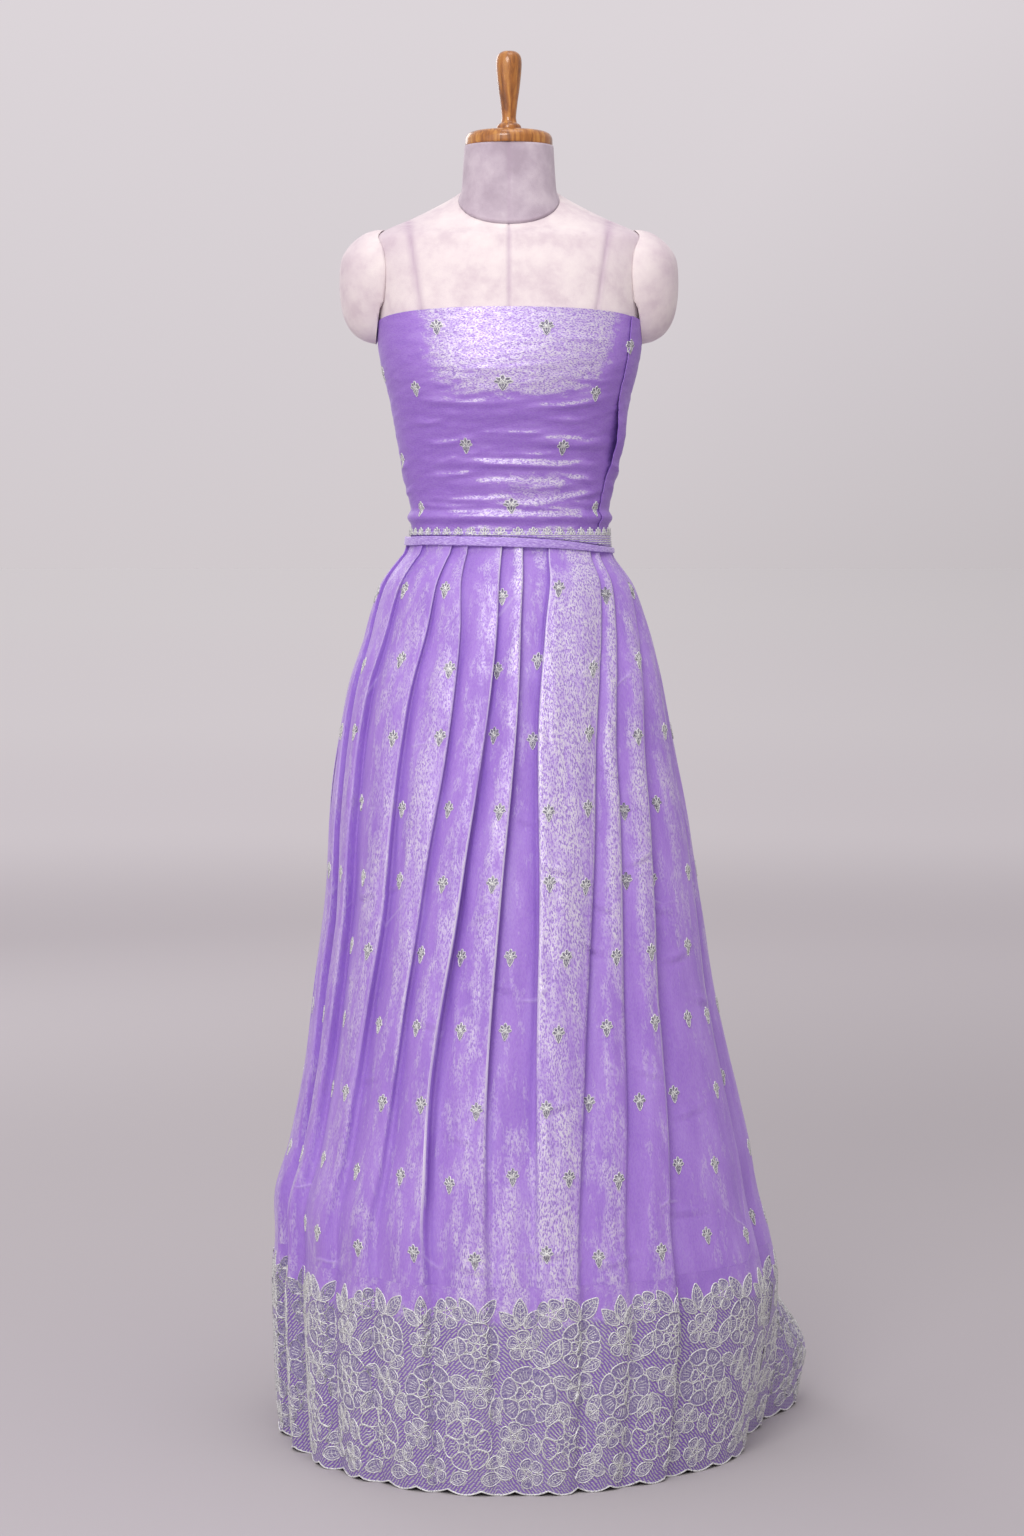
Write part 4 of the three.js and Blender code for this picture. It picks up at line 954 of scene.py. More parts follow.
def build_neck():
    """The neck's sections, with a seam down the front and a crease where it leaves the torso."""
    foot_z, top_z = NECK_SECTIONS[0, 0], NECK_SECTIONS[-1, 0]
    t, s = np.meshgrid(np.linspace(0, 360, 144, endpoint=False), np.linspace(foot_z, top_z, 30))
    p = form_point(t, s, 0.0, NECK_SECTIONS)
    groove = bump(p[..., 0] / 1.8) * (p[..., 1] < 0) * 0.7 + bump((s - foot_z - 1) / 2.5) * 0.5
    points, faces = capped(p - radial(t) * groove[..., None])
    neck = make_piece("form_neck_cover", points, faces, [finish_for("neck")], ["form_neck"])
    # Painted shade along the neck's seam and its crease.
    set_seam_shade(neck, groove * 0.35)


def build_pad(side, label):
    """An oval stuffed cap, pressed against the torso and sewn round near its inner face. It stands
    a little further off above a step, where the seam pulls it."""
    columns, rows = 80, 48
    foot_z, top_z = PAD_SECTIONS[0, 0], PAD_SECTIONS[-1, 0]
    n, s = np.meshgrid(np.arange(columns) * 2 * np.pi / columns, np.linspace(0, 1, rows))
    heights = foot_z + (top_z - foot_z) * (1 - np.cos(s * np.pi)) / 2
    reach, deep = (along(PAD_SECTIONS[:, 0], PAD_SECTIONS[:, k], heights) for k in (1, 2))
    x, y = PAD_CENTRE + np.cos(n) * (reach - PAD_CENTRE), np.sin(n) * deep
    half, front, back = (along(FORM_SECTIONS[:, 0], FORM_SECTIONS[:, k], heights) for k in (1, 2, 3))
    inside = np.clip(1 - np.abs(y / np.where(y < 0, front, back)) ** (2 / SQUARENESS), 0, 1)
    torso = half * inside ** (SQUARENESS / 2)
    gap = 0.7 + 3.9 * smooth((PAD_STEP_Z + 2 - heights) / 5)
    seam = 1.3 * bump((np.cos(n) + 0.35) / 0.2)
    x = np.maximum(x - seam, torso + gap)
    points, faces = capped(np.stack([side * x, y, heights], axis=-1))
    faces = faces if side > 0 else faces[:, ::-1]
    name, cover = "shoulder_pad_" + label, [finish_for("cotton")]
    pad = make_piece(name, points, faces, cover, ["form_pad_" + label])
    # Painted shade along the pad's seam and towards its outer top.
    shoulder = 0.22 * smooth(np.cos(n) * 1.4 - 0.1) * smooth((heights - 1330) / 60)
    set_seam_shade(pad, 0.12 * seam + shoulder)


def turned_piece(name, profile, replaced):
    """Wood turned on a lathe: a smooth curve through radius and height pairs, carried round the
    upright middle line."""
    profile = np.asarray(profile, float)
    length = line_lengths(profile)
    at = np.sort(np.concatenate([np.linspace(0, length[-1], 70), length]))
    r, z = (along(length, profile[:, k], at) for k in (0, 1))
    t, _ = np.meshgrid(np.linspace(0, 2 * np.pi, 80, endpoint=False), at)
    r = np.maximum(r, 0.05)[:, None]
    p = np.stack([r * np.sin(t), -r * np.cos(t), z[:, None] + 0 * t], axis=-1)
    points, faces = capped(p, foot=[0, 0, z[0]], top=[0, 0, z[-1]])
    make_piece(name, points, faces, [finish_for("wood")], [replaced])


def build_wood():
    """Turns the low cap on the neck, and the handle that stands on it."""
    foot, top = 1529.3, 1546
    turned_piece("turned_cap", [
        (30, foot), (50.2, foot), (51.2, foot + 1), (51.4, foot + 5), (51.1, foot + 9),
        (48.8, foot + 13.4), (44.6, foot + 15.9), (38, top), (16, top + 0.1),
    ], "neck_cap")
    turned_piece("turned_handle", [
        (8, 1546.3), (14, 1546.4), (14.6, 1548.5), (14.4, 1552.5), (12.4, 1555), (9.8, 1556.6),
        (9, 1559), (8.4, 1563), (10.2, 1580), (12.6, 1597), (14.6, 1616), (15, 1628), (13.2, 1635.4),
        (8.6, 1639.4), (2.5, 1640.5),
    ], "neck_knob")


def skirt_cloth_grid(start, end, z_low, z_high, rows):
    """Places and heights for the cloth, with the columns closer together on a pleat's edge."""
    even = np.linspace(start, end, int(round((end - start) * COLUMNS_PER_FOLD)) + 1)
    places = even - 0.6 * np.sin(2 * np.pi * even) / (2 * np.pi)
    places[0], places[-1] = start, end
    return np.meshgrid(np.sort(places), np.linspace(z_low, z_high, rows))


def mean_beside(values, window):
    """The mean of each point's neighbours in its own row."""
    pad = window // 2
    wide = np.cumsum(np.pad(values, ((0, 0), (pad + 1, pad)), mode="edge"), axis=1)
    return (wide[:, 2 * pad + 1 :] - wide[:, : -2 * pad - 1]) / (2 * pad + 1)


def skirt_gleam(p, window):
    """The weft shows on the proud part of each pleat, most of all at the front right and the back
    left, and the cloth beside it lies in the fold. Low down it shows in patches, most in the middle
    of the front and least at the front right."""
    reach = np.hypot(p[..., 0], p[..., 1])
    proud = reach - mean_beside(reach, window)
    turn = np.degrees(np.arctan2(p[..., 0], -p[..., 1]))
    z = p[..., 2]
    proud = proud / (np.sqrt(mean_beside(proud**2, window)) + 0.4 + 1.2 * smooth((1010 - z) / 120))
    # The painted glitter is strongest round LIT_TURN and on the back left.
    lit_turn = turn - LIT_TURN
    strength = 0.3 + 0.66 * np.cos(np.radians(lit_turn)) ** 4 + 0.3 * ripple(turn / 17, z / 420, 31)
    strength = strength + 0.28 * ripple(turn / 8 + z / 300, z / 110, 32)
    strength = strength + 0.3 * bump(lit_turn / 40) * smooth((z - 640) / 260)
    # How strong the painted fold shade is.
    fold_shade_strength = (0.3 + 0.5 * smooth((z - 300) / 400)) * (0.7 + 0.3 * smooth((turn + 30) / 20))
    lit = smooth((proud + 0.45) / 1.2) * np.clip(strength, 0, 0.95)
    lit = lit * (0.5 + 0.5 * smooth((z - 430) / 250))
    # More painted glitter over the panel high at the front right.
    panel = 0.35 * bump(lit_turn / 26) * smooth((z - 700) / 260)
    # Low down: painted glitter in patches and at the middle of the front, and painted shade at the front
    # right.
    low = 0.26 * smooth((560 - z) / 240) * np.clip(0.35 + 1.1 * ripple(turn / 9, z / 120, 35), 0, 1)
    low = low + 0.34 * bump((turn - 4) / 24) * smooth((520 - z) / 200)
    low = low - 0.36 * smooth((turn - 18) / 20) * smooth((720 - z) / 260) * smooth((110 - turn) / 40)
    return lit + panel + low - smooth((-proud - 0.4) / 1.1) * fold_shade_strength


def set_edges(piece, place, z):
    """Stores how far each point is from a pleat's folded edge, counted in the edge's own width, and
    how crisply that edge is pressed at this height. Its lip is a pale line and the cloth just under
    it is dark."""
    row = np.mod(np.round(place).astype(int), len(FOLDS))
    edge = (place - np.round(place)) / STEP_SHARE * FOLD_FACES[row]
    # pressed is the strength of the painted lip highlight and the painted shadow under it.
    pressed = 0.62 + 0.6 * ripple(z / 90, np.round(place) * 3.7, 33)
    pressed = np.clip(pressed * FOLD_EDGE_PAINT[row, 0], 0, 1) * smooth((z - FOLD_EDGE_PAINT[row, 1]) / 160 + 0.2)
    pressed = pressed * smooth(3 - np.abs(edge))
    for name, values in (("edge", np.clip(edge, -3, 3)), ("crisp", pressed)):
        piece.data.attributes.new(name, "FLOAT", "POINT").data.foreach_set("value", values.ravel())


def build_skirt():
    """Each half of the skirt is the pleated surface from the border up into the waistband. The
    grid's heights are stretched so that its top follows the band, which dips to the right."""
    for name, (start, end) in SIDES.items():
        rows = 210 if name == "front" else 170
        place, z = skirt_cloth_grid(start, end, BORDER_TOP_Z, CLOTH_TOP_Z, rows)
        across = skirt_point(place, z)
        turn = np.degrees(np.arctan2(across[..., 0], -across[..., 1]))
        share = (band_middle(turn) - BORDER_TOP_Z) / (CLOTH_TOP_Z - BORDER_TOP_Z)
        p = skirt_point(place, BORDER_TOP_Z + 0.05 + (z - BORDER_TOP_Z) * share)
        materials, replaced = [finish_for("skirt")], ["skirt_" + name]
        cloth = make_piece("skirt_cloth_" + name, p, grid_faces(*place.shape), materials, replaced)
        thicken(cloth, 0.8)
        # Painted glitter and painted fold shade, and the painted highlight and shadow at the pleats' edges.
        set_gleam(cloth, skirt_gleam(p, 27))
        set_edges(cloth, place, z)
        width = girth(400, start, end)[1][-1] * MM


def build_border():
    """The cloth under the embroidery, from its scalloped edge up to the skirt's cloth. The scallops
    are the humps of a sine, cut off below."""
    for name, (start, end) in SIDES.items():
        places, run = girth(100, start, end)
        scallops = int(round(run[-1] / SCALLOP_PITCH))
        count = scallops * 7
        along_hem = np.linspace(0, run[-1], count + 1)
        place = np.interp(along_hem, run, places)
        edge = SCALLOP_DEPTH * (1 - np.abs(np.sin(np.linspace(0, scallops * np.pi, count + 1))))
        z = edge + (BORDER_TOP_Z - edge) * np.linspace(0, 1, 40)[:, None]
        p = skirt_point(np.broadcast_to(place, z.shape), z)
        uv = np.stack([np.broadcast_to((along_hem - run[-1] / 2) * MM, z.shape), z * MM], axis=-1)
        materials, replaced = [finish_for("worked")], ["border_" + name]
        cloth = make_piece(
            "border_cloth_" + name, p, grid_faces(*z.shape), materials, replaced, uv=uv
        )
        thicken(cloth, 1.0)
        # Painted glitter and painted fold shade on the border's cloth.
        set_gleam(cloth, skirt_gleam(p, 45) * 0.9)
        build_hem_cord(name, place, edge)
        build_embroidery(name, places, run)


def build_hem_cord(name, place, edge):
    """A round cord along the scallops: a ring of six points carried along the hem."""
    middle = skirt_point(place, edge + 0.9)
    out = skirt_normal(place, edge + 3.0)
    up = np.array([0, 0, 1.0])
    a = np.arange(6)[None, :, None] * np.pi / 3
    ring = middle[:, None, :] + 1.1 * (np.cos(a) * out[:, None, :] + np.sin(a) * up)
    ring[..., 2] = np.maximum(ring[..., 2], 0.02)
    faces = grid_faces(len(place), 6, ring=True)[:, ::-1]
    make_piece("hem_cord_" + name, ring, faces, [finish_for("cord")])


def build_embroidery(name, places, run):
    """Repeats the border's drawing along the cloth, and lays it as raised cords over fillings."""
    repeats = int(round(run[-1] / REPEAT))
    stretch = run[-1] / (repeats * REPEAT)

    def surface(u, v, height):
        return on_skirt(places, run, u * stretch, np.clip(v, 3, 246), height)

    unit = border_repeat()
    for half, letter in enumerate("ab"):
        chosen = range(half * repeats // 2, (half + 1) * repeats // 2)
        spread = gathered([moved(unit, k * REPEAT, 0) for k in chosen])
        parts = [
            (0, lay_cords(spread["cord"], 1.5, 1.25, surface, 2.6)),
            (0, lay_cords(spread["thin"], 0.9, 0.7, surface, 2.8)),
            (1, lay_fills(spread["fill"], 0.25, surface)),
        ]
        make_worked("embroidery_%s_%s" % (name, letter), parts, "fill")


def build_sprigs():
    """Staggered rows of small sprigs on the skirt, and a few on the bodice. A skirt sprig is moved a
    little out of its row, and off a pleat's folded edge."""
    unit = sprig()
    for name, (start, end) in SIDES.items():
        parts = []
        for row, z in enumerate(np.arange(1004, 240, -SPRIG_DROP)):
            places, run = girth(z, start, end, 3000)
            count = int(round(run[-1] / SPRIG_PITCH))
            step = run[-1] / count
            for k in range(count):
                jitter = 9 * float(ripple(k * 3.7 + row, row * 2.3, 9))
                u0 = (k + 0.25 + 0.5 * (row % 2)) * step + jitter
                v0 = z + 7 * float(ripple(k * 1.9, row * 5.1, 4))
                at = float(np.interp(u0, run, places))
                aside = math.copysign(max(abs(at - round(at)), OFF_EDGE), at - round(at))
                u0 = float(np.interp(round(at) + aside, places, run))

                def surface(u, v, height):
                    return on_skirt(places, run, u + u0, v + v0, height)

                parts += lay_sprig(unit, surface)
        make_worked("sprigs_skirt_" + name, parts, "sprig")
    build_bodice_sprigs(unit)


# The bodice

CRUSH_FOLDS = [  # turn, height, rise for each degree, half length in degrees, out, half width
    (-20, 1222, -0.12, 34, 1.6, 5), (24, 1219, 0.18, 34, 1.8, 5), (-42, 1200, 0.1, 18, 1.5, 4.5),
    (22, 1203, -0.04, 22, 1.5, 4.5), (8, 1188, 0.06, 30, 1.2, 4), (30, 1174, -0.12, 24, 1.7, 4.5),
    (-34, 1177, 0.12, 26, 1.3, 4.5), (0, 1163, -0.02, 36, 1.1, 4), (10, 1150, -0.05, 36, 2, 4.2),
    (-30, 1140, 0.15, 28, 1.4, 4), (40, 1136, -0.2, 24, 1.8, 4.5), (14, 1125, 0.1, 34, 1.6, 4),
    (44, 1117, 0.24, 26, 2.2, 4.5), (-20, 1112, 0.02, 40, 1.5, 3.6), (24, 1101, -0.1, 36, 1.6, 3.6),
    (-44, 1104, -0.14, 26, 1.4, 3.6), (70, 1150, -0.5, 16, 2, 5), (76, 1128, -0.4, 14, 1.8, 4.5),
    (-76, 1150, 0.2, 20, 1.6, 5), (-80, 1122, 0.15, 22, 1.5, 4.5), (120, 1140, -0.1, 26, 1.8, 5),
    (150, 1170, 0.1, 30, 1.8, 5), (182, 1142, -0.05, 34, 2, 5), (205, 1180, 0.08, 30, 1.8, 5),
    (232, 1136, 0.12, 28, 1.8, 5), (176, 1112, 0.02, 40, 1.8, 4.5), (250, 1110, -0.1, 26, 1.6, 4.5),
    (140, 1106, 0.1, 30, 1.6, 4.5), (-24, 1305, 0.05, 26, 0.7, 4), (30, 1296, -0.08, 22, 0.8, 4),
    (-8, 1262, 0.1, 30, 0.7, 4), (36, 1250, -0.16, 22, 0.8, 4), (190, 1262, 0.05, 30, 0.9, 5),
]


def wrap_out(turn, z):
    """How far the wrapped cloth stands out: the large rolls, and finer crushed folds whose lower
    side is the steeper."""
    out = np.zeros(np.broadcast(turn, z).shape)
    for middle, spread, height, rise, far, half in WRAP_FOLDS:
        aside = wrapped(turn - middle)
        shown = 1 if spread > 360 else bump(aside / spread)
        out = out + far * bump((z - height - rise * aside) / half) * shown
    for middle, height, rise, spread, far, half in CRUSH_FOLDS:
        aside = wrapped(turn - middle)
        off = z - height - rise * aside - 0.004 * aside**2
        off = np.where(off < 0, off / (half * 0.65), off / (half * 1.6))
        out = out + 1.25 * far * bump(off) * bump(aside / spread)
    fine = 0.45 * ripple(turn / 9, z / 7, 11) + 0.25 * ripple(turn / 4 + z / 30, z / 3.5, 12)
    return out + (fine + 0.3) * smooth((1330 - z) / 60)


def bodice_top(turn):
    """The upper edge's height: raised over the front, in a flat arch."""
    return 1307 + 27 * np.maximum(np.cos(np.radians(turn)), 0) ** 0.4


def bodice_point(turn, z, extra=0.0):
    """A point on the outside of the wrapped cloth: the form, moved out by the clearance, the cloth
    and its folds."""
    return form_point(turn, z, BODICE_CLEARANCE + BODICE_CLOTH + wrap_out(turn, z) + extra)


def bodice_gleam(p, turn, z, centre_turn):
    """The weft shows where a fold's upper side faces the front, over the whole bust, and in a patch
    low in the middle. The sides lie in shade."""
    n = grid_normal(p)
    centre = math.radians(centre_turn)
    facing = n[..., 0] * math.sin(centre) - n[..., 1] * math.cos(centre)
    upward = n[..., 2] + 0.16 * smooth((z - BUST_FOOT_Z) / 14)
    # Painted glitter on folds that face the front and upwards, and painted shade under the folds and on the
    # sides.
    lit = 1.35 * smooth((facing - 0.7) / 0.26) * smooth((upward + 0.06) / 0.15)
    over_bust = smooth((z - BUST_FOOT_Z) / 16) * smooth((1338 - z) / 14)
    bust = 1.05 * bump((turn - centre_turn) / 55) * over_bust
    patch = bump((turn - centre_turn - 8) / 46) * bump((z - 1126) / 46)
    shade = smooth((-upward - 0.02) / 0.2) * (0.7 - 0.5 * patch)
    return lit + bust + 0.75 * patch - shade - 0.75 * smooth((0.98 - facing) / 0.45)


def build_bodice():
    """The front runs from side to side. The back laps over it on the right, where its free end
    stands off in a loose loop."""
    spans = {  # start, end, columns, rows, turn that faces outwards, flat size
        "front": (-90, 90, 130, 112, 7, (0.42, 0.27)),
        "back": (OVERLAP["start"], 270, 128, 100, 187, (0.44, 0.26)),
    }
    for name, (start, end, columns, rows, centre_turn, size) in spans.items():
        turn, share = np.meshgrid(np.linspace(start + 0.1, end - 0.1, columns), np.linspace(0, 1, rows))
        foot = band_middle(turn) + 1
        z = foot + (bodice_top(turn) - foot) * share
        extra = 0.5 * bump((share - 1) / 0.02)
        beside = 0
        if name == "back":
            loose = 7 * bump((z - 1183) / 58) * smooth((86 - turn) / 14) * smooth((turn - 58) / 6)
            extra = over_front(turn) + loose + extra
        else:
            # Painted shade on the front piece beside the wrap's free end.
            beside = 0.7 * bump((turn - 58) / 20) * smooth((1290 - z) / 40)
        p = bodice_point(turn, z, extra)
        materials, replaced = [finish_for("bodice")], ["bodice_" + name]
        cloth = make_piece("bodice_cloth_" + name, p, grid_faces(*turn.shape), materials, replaced)
        thicken(cloth, 0.9)
        set_gleam(cloth, bodice_gleam(p, turn, z, centre_turn) - beside)


BODICE_SPRIGS = [  # turn, height
    (-30, 1311), (14, 1310), (64, 1291), (-47, 1241), (-2, 1246), (43, 1235), (-20, 1175), (26, 1173),
    (-60, 1103), (1, 1106), (58, 1103), (-82, 1262), (-76, 1160), (102, 1250), (128, 1290), (150, 1236),
    (176, 1292), (196, 1236), (222, 1290), (242, 1240), (120, 1176), (168, 1174), (214, 1176), (256, 1172),
    (140, 1110), (190, 1108), (236, 1108),
]


def build_bodice_sprigs(unit):
    """The bodice's sprigs, laid on by turn and height."""
    parts = []
    for turn0, z0 in BODICE_SPRIGS:

        def surface(u, v, height):
            turn = turn0 + np.degrees(u / BODICE_REACH)
            lifted = np.where(turn > OVERLAP["start"], over_front(turn), 0)
            return bodice_point(turn, z0 + v * 0.9, lifted + height)

        parts += lay_sprig(unit, surface)
    make_worked("sprigs_bodice", parts, "sprig")


def build_waist():
    """The band is a folded strip, its section an oval squared until its face is nearly flat."""
    rows, columns = 18, 300
    turn, a = np.meshgrid(np.linspace(0, 360, columns, endpoint=False), np.linspace(0, 2 * np.pi, rows))
    wobble = 0.5 * ripple(turn / 11, turn * 0, 21)
    half = (band_top(turn) - band_foot(turn)) / 2
    z = band_middle(turn) + half * np.sin(a) * (1 + 0.25 * np.cos(2 * a)) / 0.95 + wobble
    face = 1 + np.sign(np.cos(a)) * np.abs(np.cos(a)) ** 0.6
    out = BAND["out"] + BAND["cloth"] * 0.55 * face + 0.25 * ripple(turn / 5, z / 4, 22)
    p, faces = form_point(turn, z, out), grid_faces(rows, columns, ring=True)
    make_piece("waistband_cloth", p, faces, [finish_for("band")], ["waistband"])
    build_trim()


def build_trim():
    """A ribbon above the band under a row of small fans, each of five looped petals, and under rows
    of zigzag cord where the band dips and the ribbon is wider."""
    columns = 480
    turns = np.linspace(0, 360, columns, endpoint=False)
    low = band_top(turns) + 0.4
    high = np.maximum(TRIM["top"] - 6.0, low + 1.0)
    section = [(low, 0.9), ((low + high) / 2, 1.1), (high, 0.9), (high + 0.3, 0.2)]
    under = BODICE_CLEARANCE + BODICE_CLOTH + TRIM["cloth"]
    strip = np.stack([form_point(turns, z, under + over_front(turns) + out) for z, out in section])

    around = np.linalg.norm(np.diff(form_point(np.linspace(0, 360, 361), 1076.0), axis=0), axis=1).sum()
    per_degree = around / 360

    def surface(u, v, height):
        turn = u / per_degree
        return form_point(turn, v, under + 1.0 + over_front(turn) + height)

    count = int(round(around / FAN_PITCH))
    lengths = (8.2, 8.2, 9.5, 8.2, 8.2)
    fan = [petal(1, lengths[k], 1.5, 6, math.radians(90 + (k - 2) * 36)) for k in range(5)]
    foot = TRIM["top"] - 10.0
    lines = []
    for k in range(count):
        middle = (k + 0.5) * around / count
        lines += [loop_line(middle + ray[:, 0] * 0.8, foot + np.maximum(ray[:, 1], 0)) for ray in fan]
    zigzag = np.linspace(0, 360, 4 * count + 1)
    for drop in np.arange(10.5, 24, 2.6):
        z = TRIM["top"] - drop + 0.9 * (np.arange(len(zigzag)) % 2)
        kept = z > band_top(zigzag) + 0.5
        for run in np.split(np.arange(len(zigzag)), np.nonzero(np.diff(kept))[0] + 1):
            if kept[run[0]] and len(run) > 2:
                lines.append(loop_line(zigzag[run] * per_degree, z[run]))
    ribbon = (strip, grid_faces(len(section), columns, ring=True))
    parts = [(1, ribbon), (0, lay_cords(lines, 1.15, 1.0, surface, 1.9))]
    make_worked("fan_trim", parts, "band", ["bodice_trim"])


# Stage

FLOOR_TONES = [  # share of the far distance, colour: darker near the figure as painted shade, and paler far off where it meets the sky
    (0.0, "#BCB7B9"), (0.03, "#BDB8BA"), (0.085, "#D3CED0"), (0.15, "#EAE6E7"), (0.3, "#EFECEC"),
    (1.0, "#F0EEED"),
]
SKY_TONES = [(0.0, "#D5CED1"), (0.05, "#D8D1D5"), (0.16, "#E0D9DD"), (1.0, "#E9E5E9")]
SIDE_TONES = [(0.0, "#FFFFFF"), (0.49, "#FFFFFF"), (0.62, "#E8E8E8"), (1.0, "#DCDCDC")]
FAR = 60.0
LAMPS = [  # name, place, size, power, colour
    ("key", (-0.85, -3.15, 2.9), 1.5, 50, "#FFFDFB"),
    ("fill", (-2.8, -2.6, 1.7), 2.2, 7, "#F6F4FF"),
    ("top", (0.3, -0.9, 4.2), 2.0, 20, "#FFFFFF"),
    ("back", (-1.9, 3.4, 2.6), 2.0, 22, "#FFFFFF"),
]


def dimmer_to_the_right(tree, across, tone):
    """A tone made up to a quarter darker towards +X, where across is the share of a direction that
    points that way."""
    share = node(tree, "MapRange", [across, -1.0, 1.0])
    shade = node(tree, "ValToRGB", [share], stops=SIDE_TONES)
    return node(tree, "Mix", [1.0, tone, shade], data_type="RGBA", blend_type="MULTIPLY")


def build_floor():
    """Rings of points out to a wide horizon. The floor grows paler with distance, in soft steps,
    until it meets the sky's tone."""
    turn, reach = np.meshgrid(np.radians(np.arange(96) * 3.75), np.geomspace(0.2, 400, 40))
    p = np.stack([reach * np.sin(turn), -reach * np.cos(turn), 0 * turn], axis=-1)
    mesh = bpy.data.meshes.new("studio floor")
    quads = grid_faces(*turn.shape, ring=True)[:, ::-1]
    mesh.from_pydata(p.reshape(-1, 3).tolist(), [], quads.tolist() + [list(range(96))])
    floor = bpy.data.objects.new("studio_floor", mesh)
    bpy.context.scene.collection.objects.link(floor)
    material, add = new_material("matt studio floor")
    place = add("TexCoord", output="Object")
    away = add("VectorMath", [place], operation="LENGTH")
    share = add("MapRange", [away, 0.0, FAR])
    # Painted shade: the floor is darker near the figure.
    tone = add("ValToRGB", [share], stops=FLOOR_TONES)
    tone.node.color_ramp.interpolation = "EASE"
    beyond = add("Math", [away, 14.0], operation="ADD")
    aside = add("Math", [add("SeparateXYZ", [place]), beyond], operation="DIVIDE")
    # Painted shade: the floor's colour darkens to the right.
    tone = dimmer_to_the_right(material.node_tree, aside, tone)
    finish(material, {"Base Color": tone, "Roughness": 0.95, "Specular IOR Level": 0.0})
    mesh.materials.append(material)


def build_sky():
    """An even pale sky, a little darker low down and to the right, which lights the room."""
    world = bpy.context.scene.world or bpy.data.worlds.new("studio")
    bpy.context.scene.world = world
    world.use_nodes = True
    tree = world.node_tree
    sky = tree.nodes["Background"]
    x, _, z = node(tree, "SeparateXYZ", [node(tree, "TexCoord", output="Generated")]).node.outputs
    tone = node(tree, "ValToRGB", [z], stops=SKY_TONES)
    across = node(tree, "Math", [z, -0.8, x], operation="MULTIPLY_ADD")
    tree.links.new(dimmer_to_the_right(tree, across, tone), sky.inputs["Color"])
    sky.inputs["Strength"].default_value = 0.96


def build_stage():
    """A wide matt floor that meets an even pale sky, four soft lamps, and the camera."""
    build_floor()
    build_sky()
    aim = np.array([0, 0, 0.8])
    for name, place, size, power, code in LAMPS:
        data = bpy.data.lights.new(name, "AREA")
        data.shape = "DISK"
        data.size = size
        data.energy = power
        data.color = linear(code)[:3]
        lamp = bpy.data.objects.new(name, data)
        bpy.context.scene.collection.objects.link(lamp)
        lamp.location = place
        lamp.visible_camera = False
        lamp.rotation_euler = Vector(aim - np.array(place)).to_track_quat("-Z", "Y").to_euler()

    sizes = bpy.context.scene.lehenga_sizes
    data = bpy.data.cameras.new("camera")
    data.lens = sizes.lens
    data.sensor_width = 36
    data.clip_end = 1000
    camera = bpy.data.objects.new("camera", data)
    bpy.context.scene.collection.objects.link(camera)
    camera.location = (CAMERA_ASIDE, -sizes.camera_distance, sizes.camera_height)
    camera.rotation_euler = (math.radians(90 - CAMERA_DIP), 0, 0)
    bpy.context.scene.camera = camera
    bpy.context.scene.view_settings.view_transform = "Standard"


# The add-on's settings, operators and panel


def colour_text(name, description, default):
    return bpy.props.StringProperty(name=name, description=description + ", as sRGB hex", default=default)


def measure(name, description, default, unit):
    return bpy.props.FloatProperty(name=name, description=description, default=default, unit=unit)


class LehengaColours(bpy.types.PropertyGroup):
    cloth: colour_text("Cloth", "The organza where it is evenly lit", "#A87DDB")
    cloth_light: colour_text("Cloth, pale", "The palest of its slow changes of tone", "#B490E3")
    valley: colour_text("Cloth, deep", "The deepest of its slow changes of tone", "#9C71D2")
    # The painted shade colour deep in a fold.
    fold_shade: colour_text("Cloth in folds", "The cloth deep in a fold, seen through itself", "#8E5FC6")
    # The painted glitter's pale grains and its darker specks.
    thread: colour_text("Metal thread", "The flat weft where it glitters", "#EBE7EF")
    thread_dark: colour_text("Metal thread, dark", "The flat weft turned away", "#9A8CBC")
    silver: colour_text("Silver", "The embroidery's cord", "#E3E4E2")
    silver_dark: colour_text("Silver, dark", "Its shaded turns", "#93929B")
    fill: colour_text("Filling", "The open thread filling of petals", "#9C92B5")
    fill_dark: colour_text("Filling, dark", "The ground seen through it", "#7869A3")
    form_cloth: colour_text("Form", "The form's cotton cover", "#E9DCDD")
    wood: colour_text("Wood", "The turned wood", "#AC6A24")


class LehengaSizes(bpy.types.PropertyGroup):
    camera_distance: measure("Camera distance", "From the figure's middle", 3.9, "LENGTH")
    camera_height: measure("Camera height", "Above the floor", 1.043, "LENGTH")
    lens: measure("Lens", "Focal length on a 36 mm sensor", 76.8, "CAMERA")


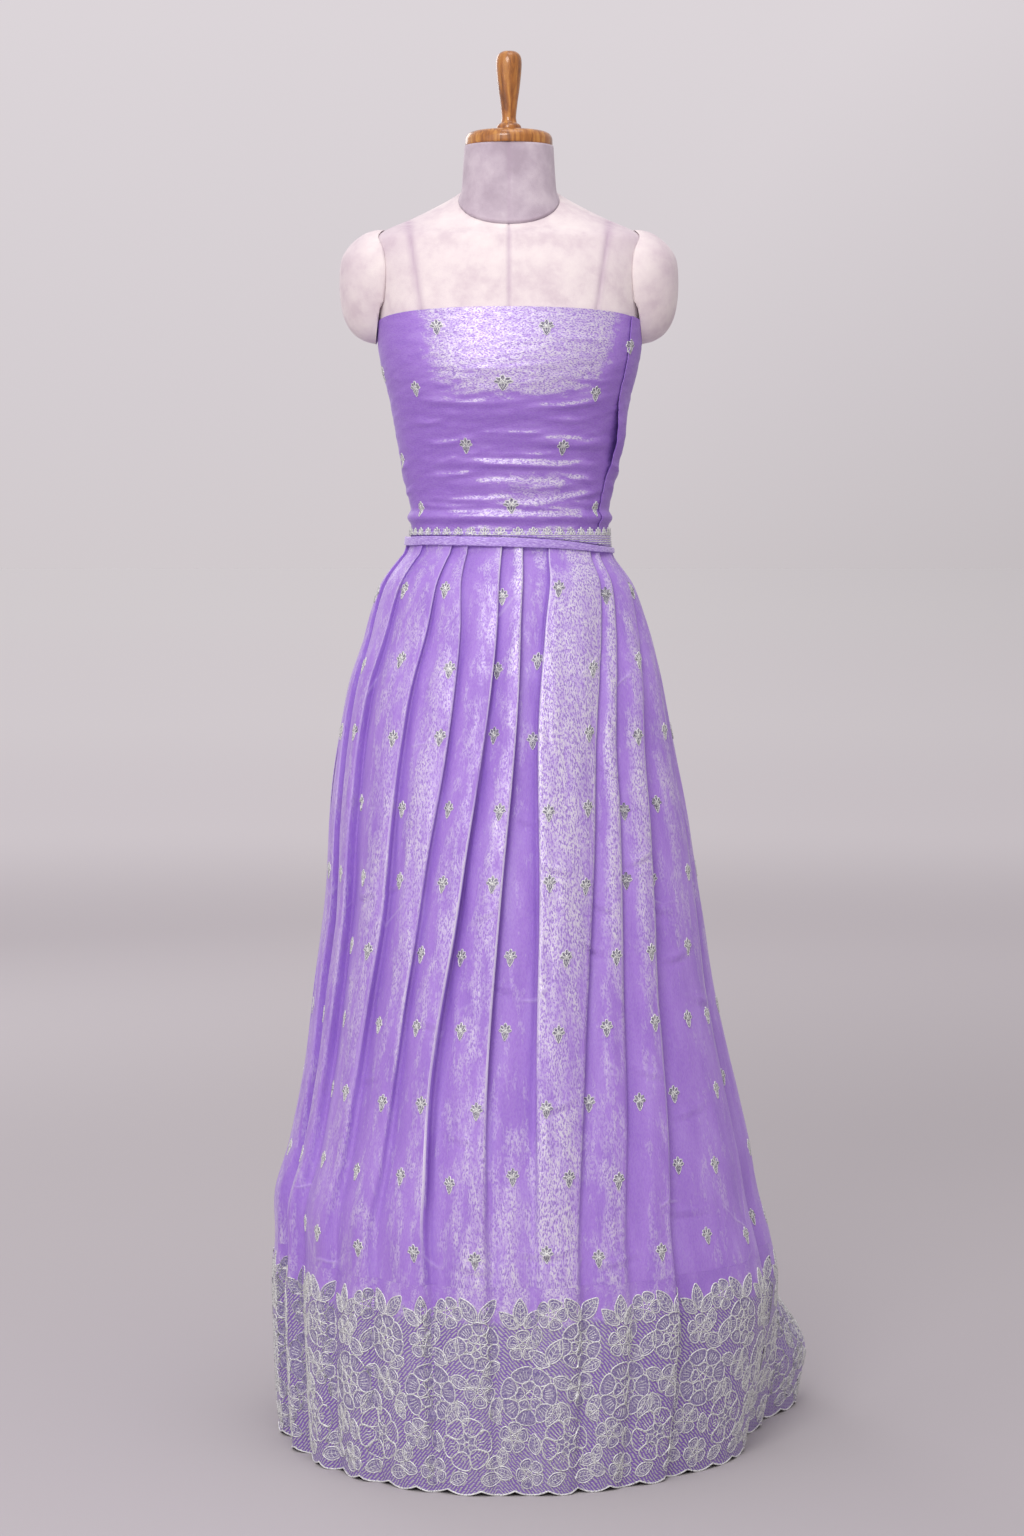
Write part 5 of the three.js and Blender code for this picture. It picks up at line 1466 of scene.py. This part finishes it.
def operator_for(idname, label, build, told):
    """An operator class that runs one build function."""

    def execute(self, context):
        build()
        return {"FINISHED"}

    name = "LEHENGA_OT_" + idname.split(".")[1]
    settings = {"bl_idname": idname, "bl_label": label, "__doc__": told, "execute": execute}
    return type(name, (bpy.types.Operator,), settings)


OPERATORS = [operator_for(*facts) for facts in [
    ("lehenga.form", "Dress form", build_form, "Covers the form, its neck and its shoulder pads in cotton"),
    ("lehenga.wood", "Turned wood", build_wood, "Turns the cap and its handle"),
    ("lehenga.skirt", "Skirt", build_skirt, "Hangs the pleated skirt"),
    ("lehenga.border", "Border", build_border, "Hangs the border and works its embroidery"),
    ("lehenga.bodice", "Bodice", build_bodice, "Wraps the bodice"),
    ("lehenga.waist", "Waist", build_waist, "Folds the waistband and works the fan trim"),
    ("lehenga.sprigs", "Sprigs", build_sprigs, "Scatters the small sprigs"),
    ("lehenga.stage", "Stage", build_stage, "Sets the backdrop, the lights and the camera"),
]]


class LEHENGA_PT_panel(bpy.types.Panel):
    bl_label = "Lehenga"
    bl_idname = "LEHENGA_PT_panel"
    bl_space_type = "VIEW_3D"
    bl_region_type = "UI"
    bl_category = "Lehenga"

    def draw(self, context):
        for operator in OPERATORS:
            self.layout.operator(operator.bl_idname)
        for group in (context.scene.lehenga_colours, context.scene.lehenga_sizes):
            box = self.layout.box()
            for name in group.__annotations__:
                box.prop(group, name)


CLASSES = [LehengaColours, LehengaSizes, *OPERATORS, LEHENGA_PT_panel]


def register():
    """Makes the add-on's classes and settings known to Blender."""
    for item in CLASSES:
        bpy.utils.register_class(item)
    bpy.types.Scene.lehenga_colours = bpy.props.PointerProperty(type=LehengaColours)
    bpy.types.Scene.lehenga_sizes = bpy.props.PointerProperty(type=LehengaSizes)


def unregister():
    """Takes them away again."""
    del bpy.types.Scene.lehenga_sizes
    del bpy.types.Scene.lehenga_colours
    for item in reversed(CLASSES):
        bpy.utils.unregister_class(item)


def main():
    """Builds every piece and writes the boxes of the solids and of the looks."""
    register()
    for operator in OPERATORS:
        group, name = operator.bl_idname.split(".")
        getattr(getattr(bpy.ops, group), name)()


if __name__ == "__main__":
    main()
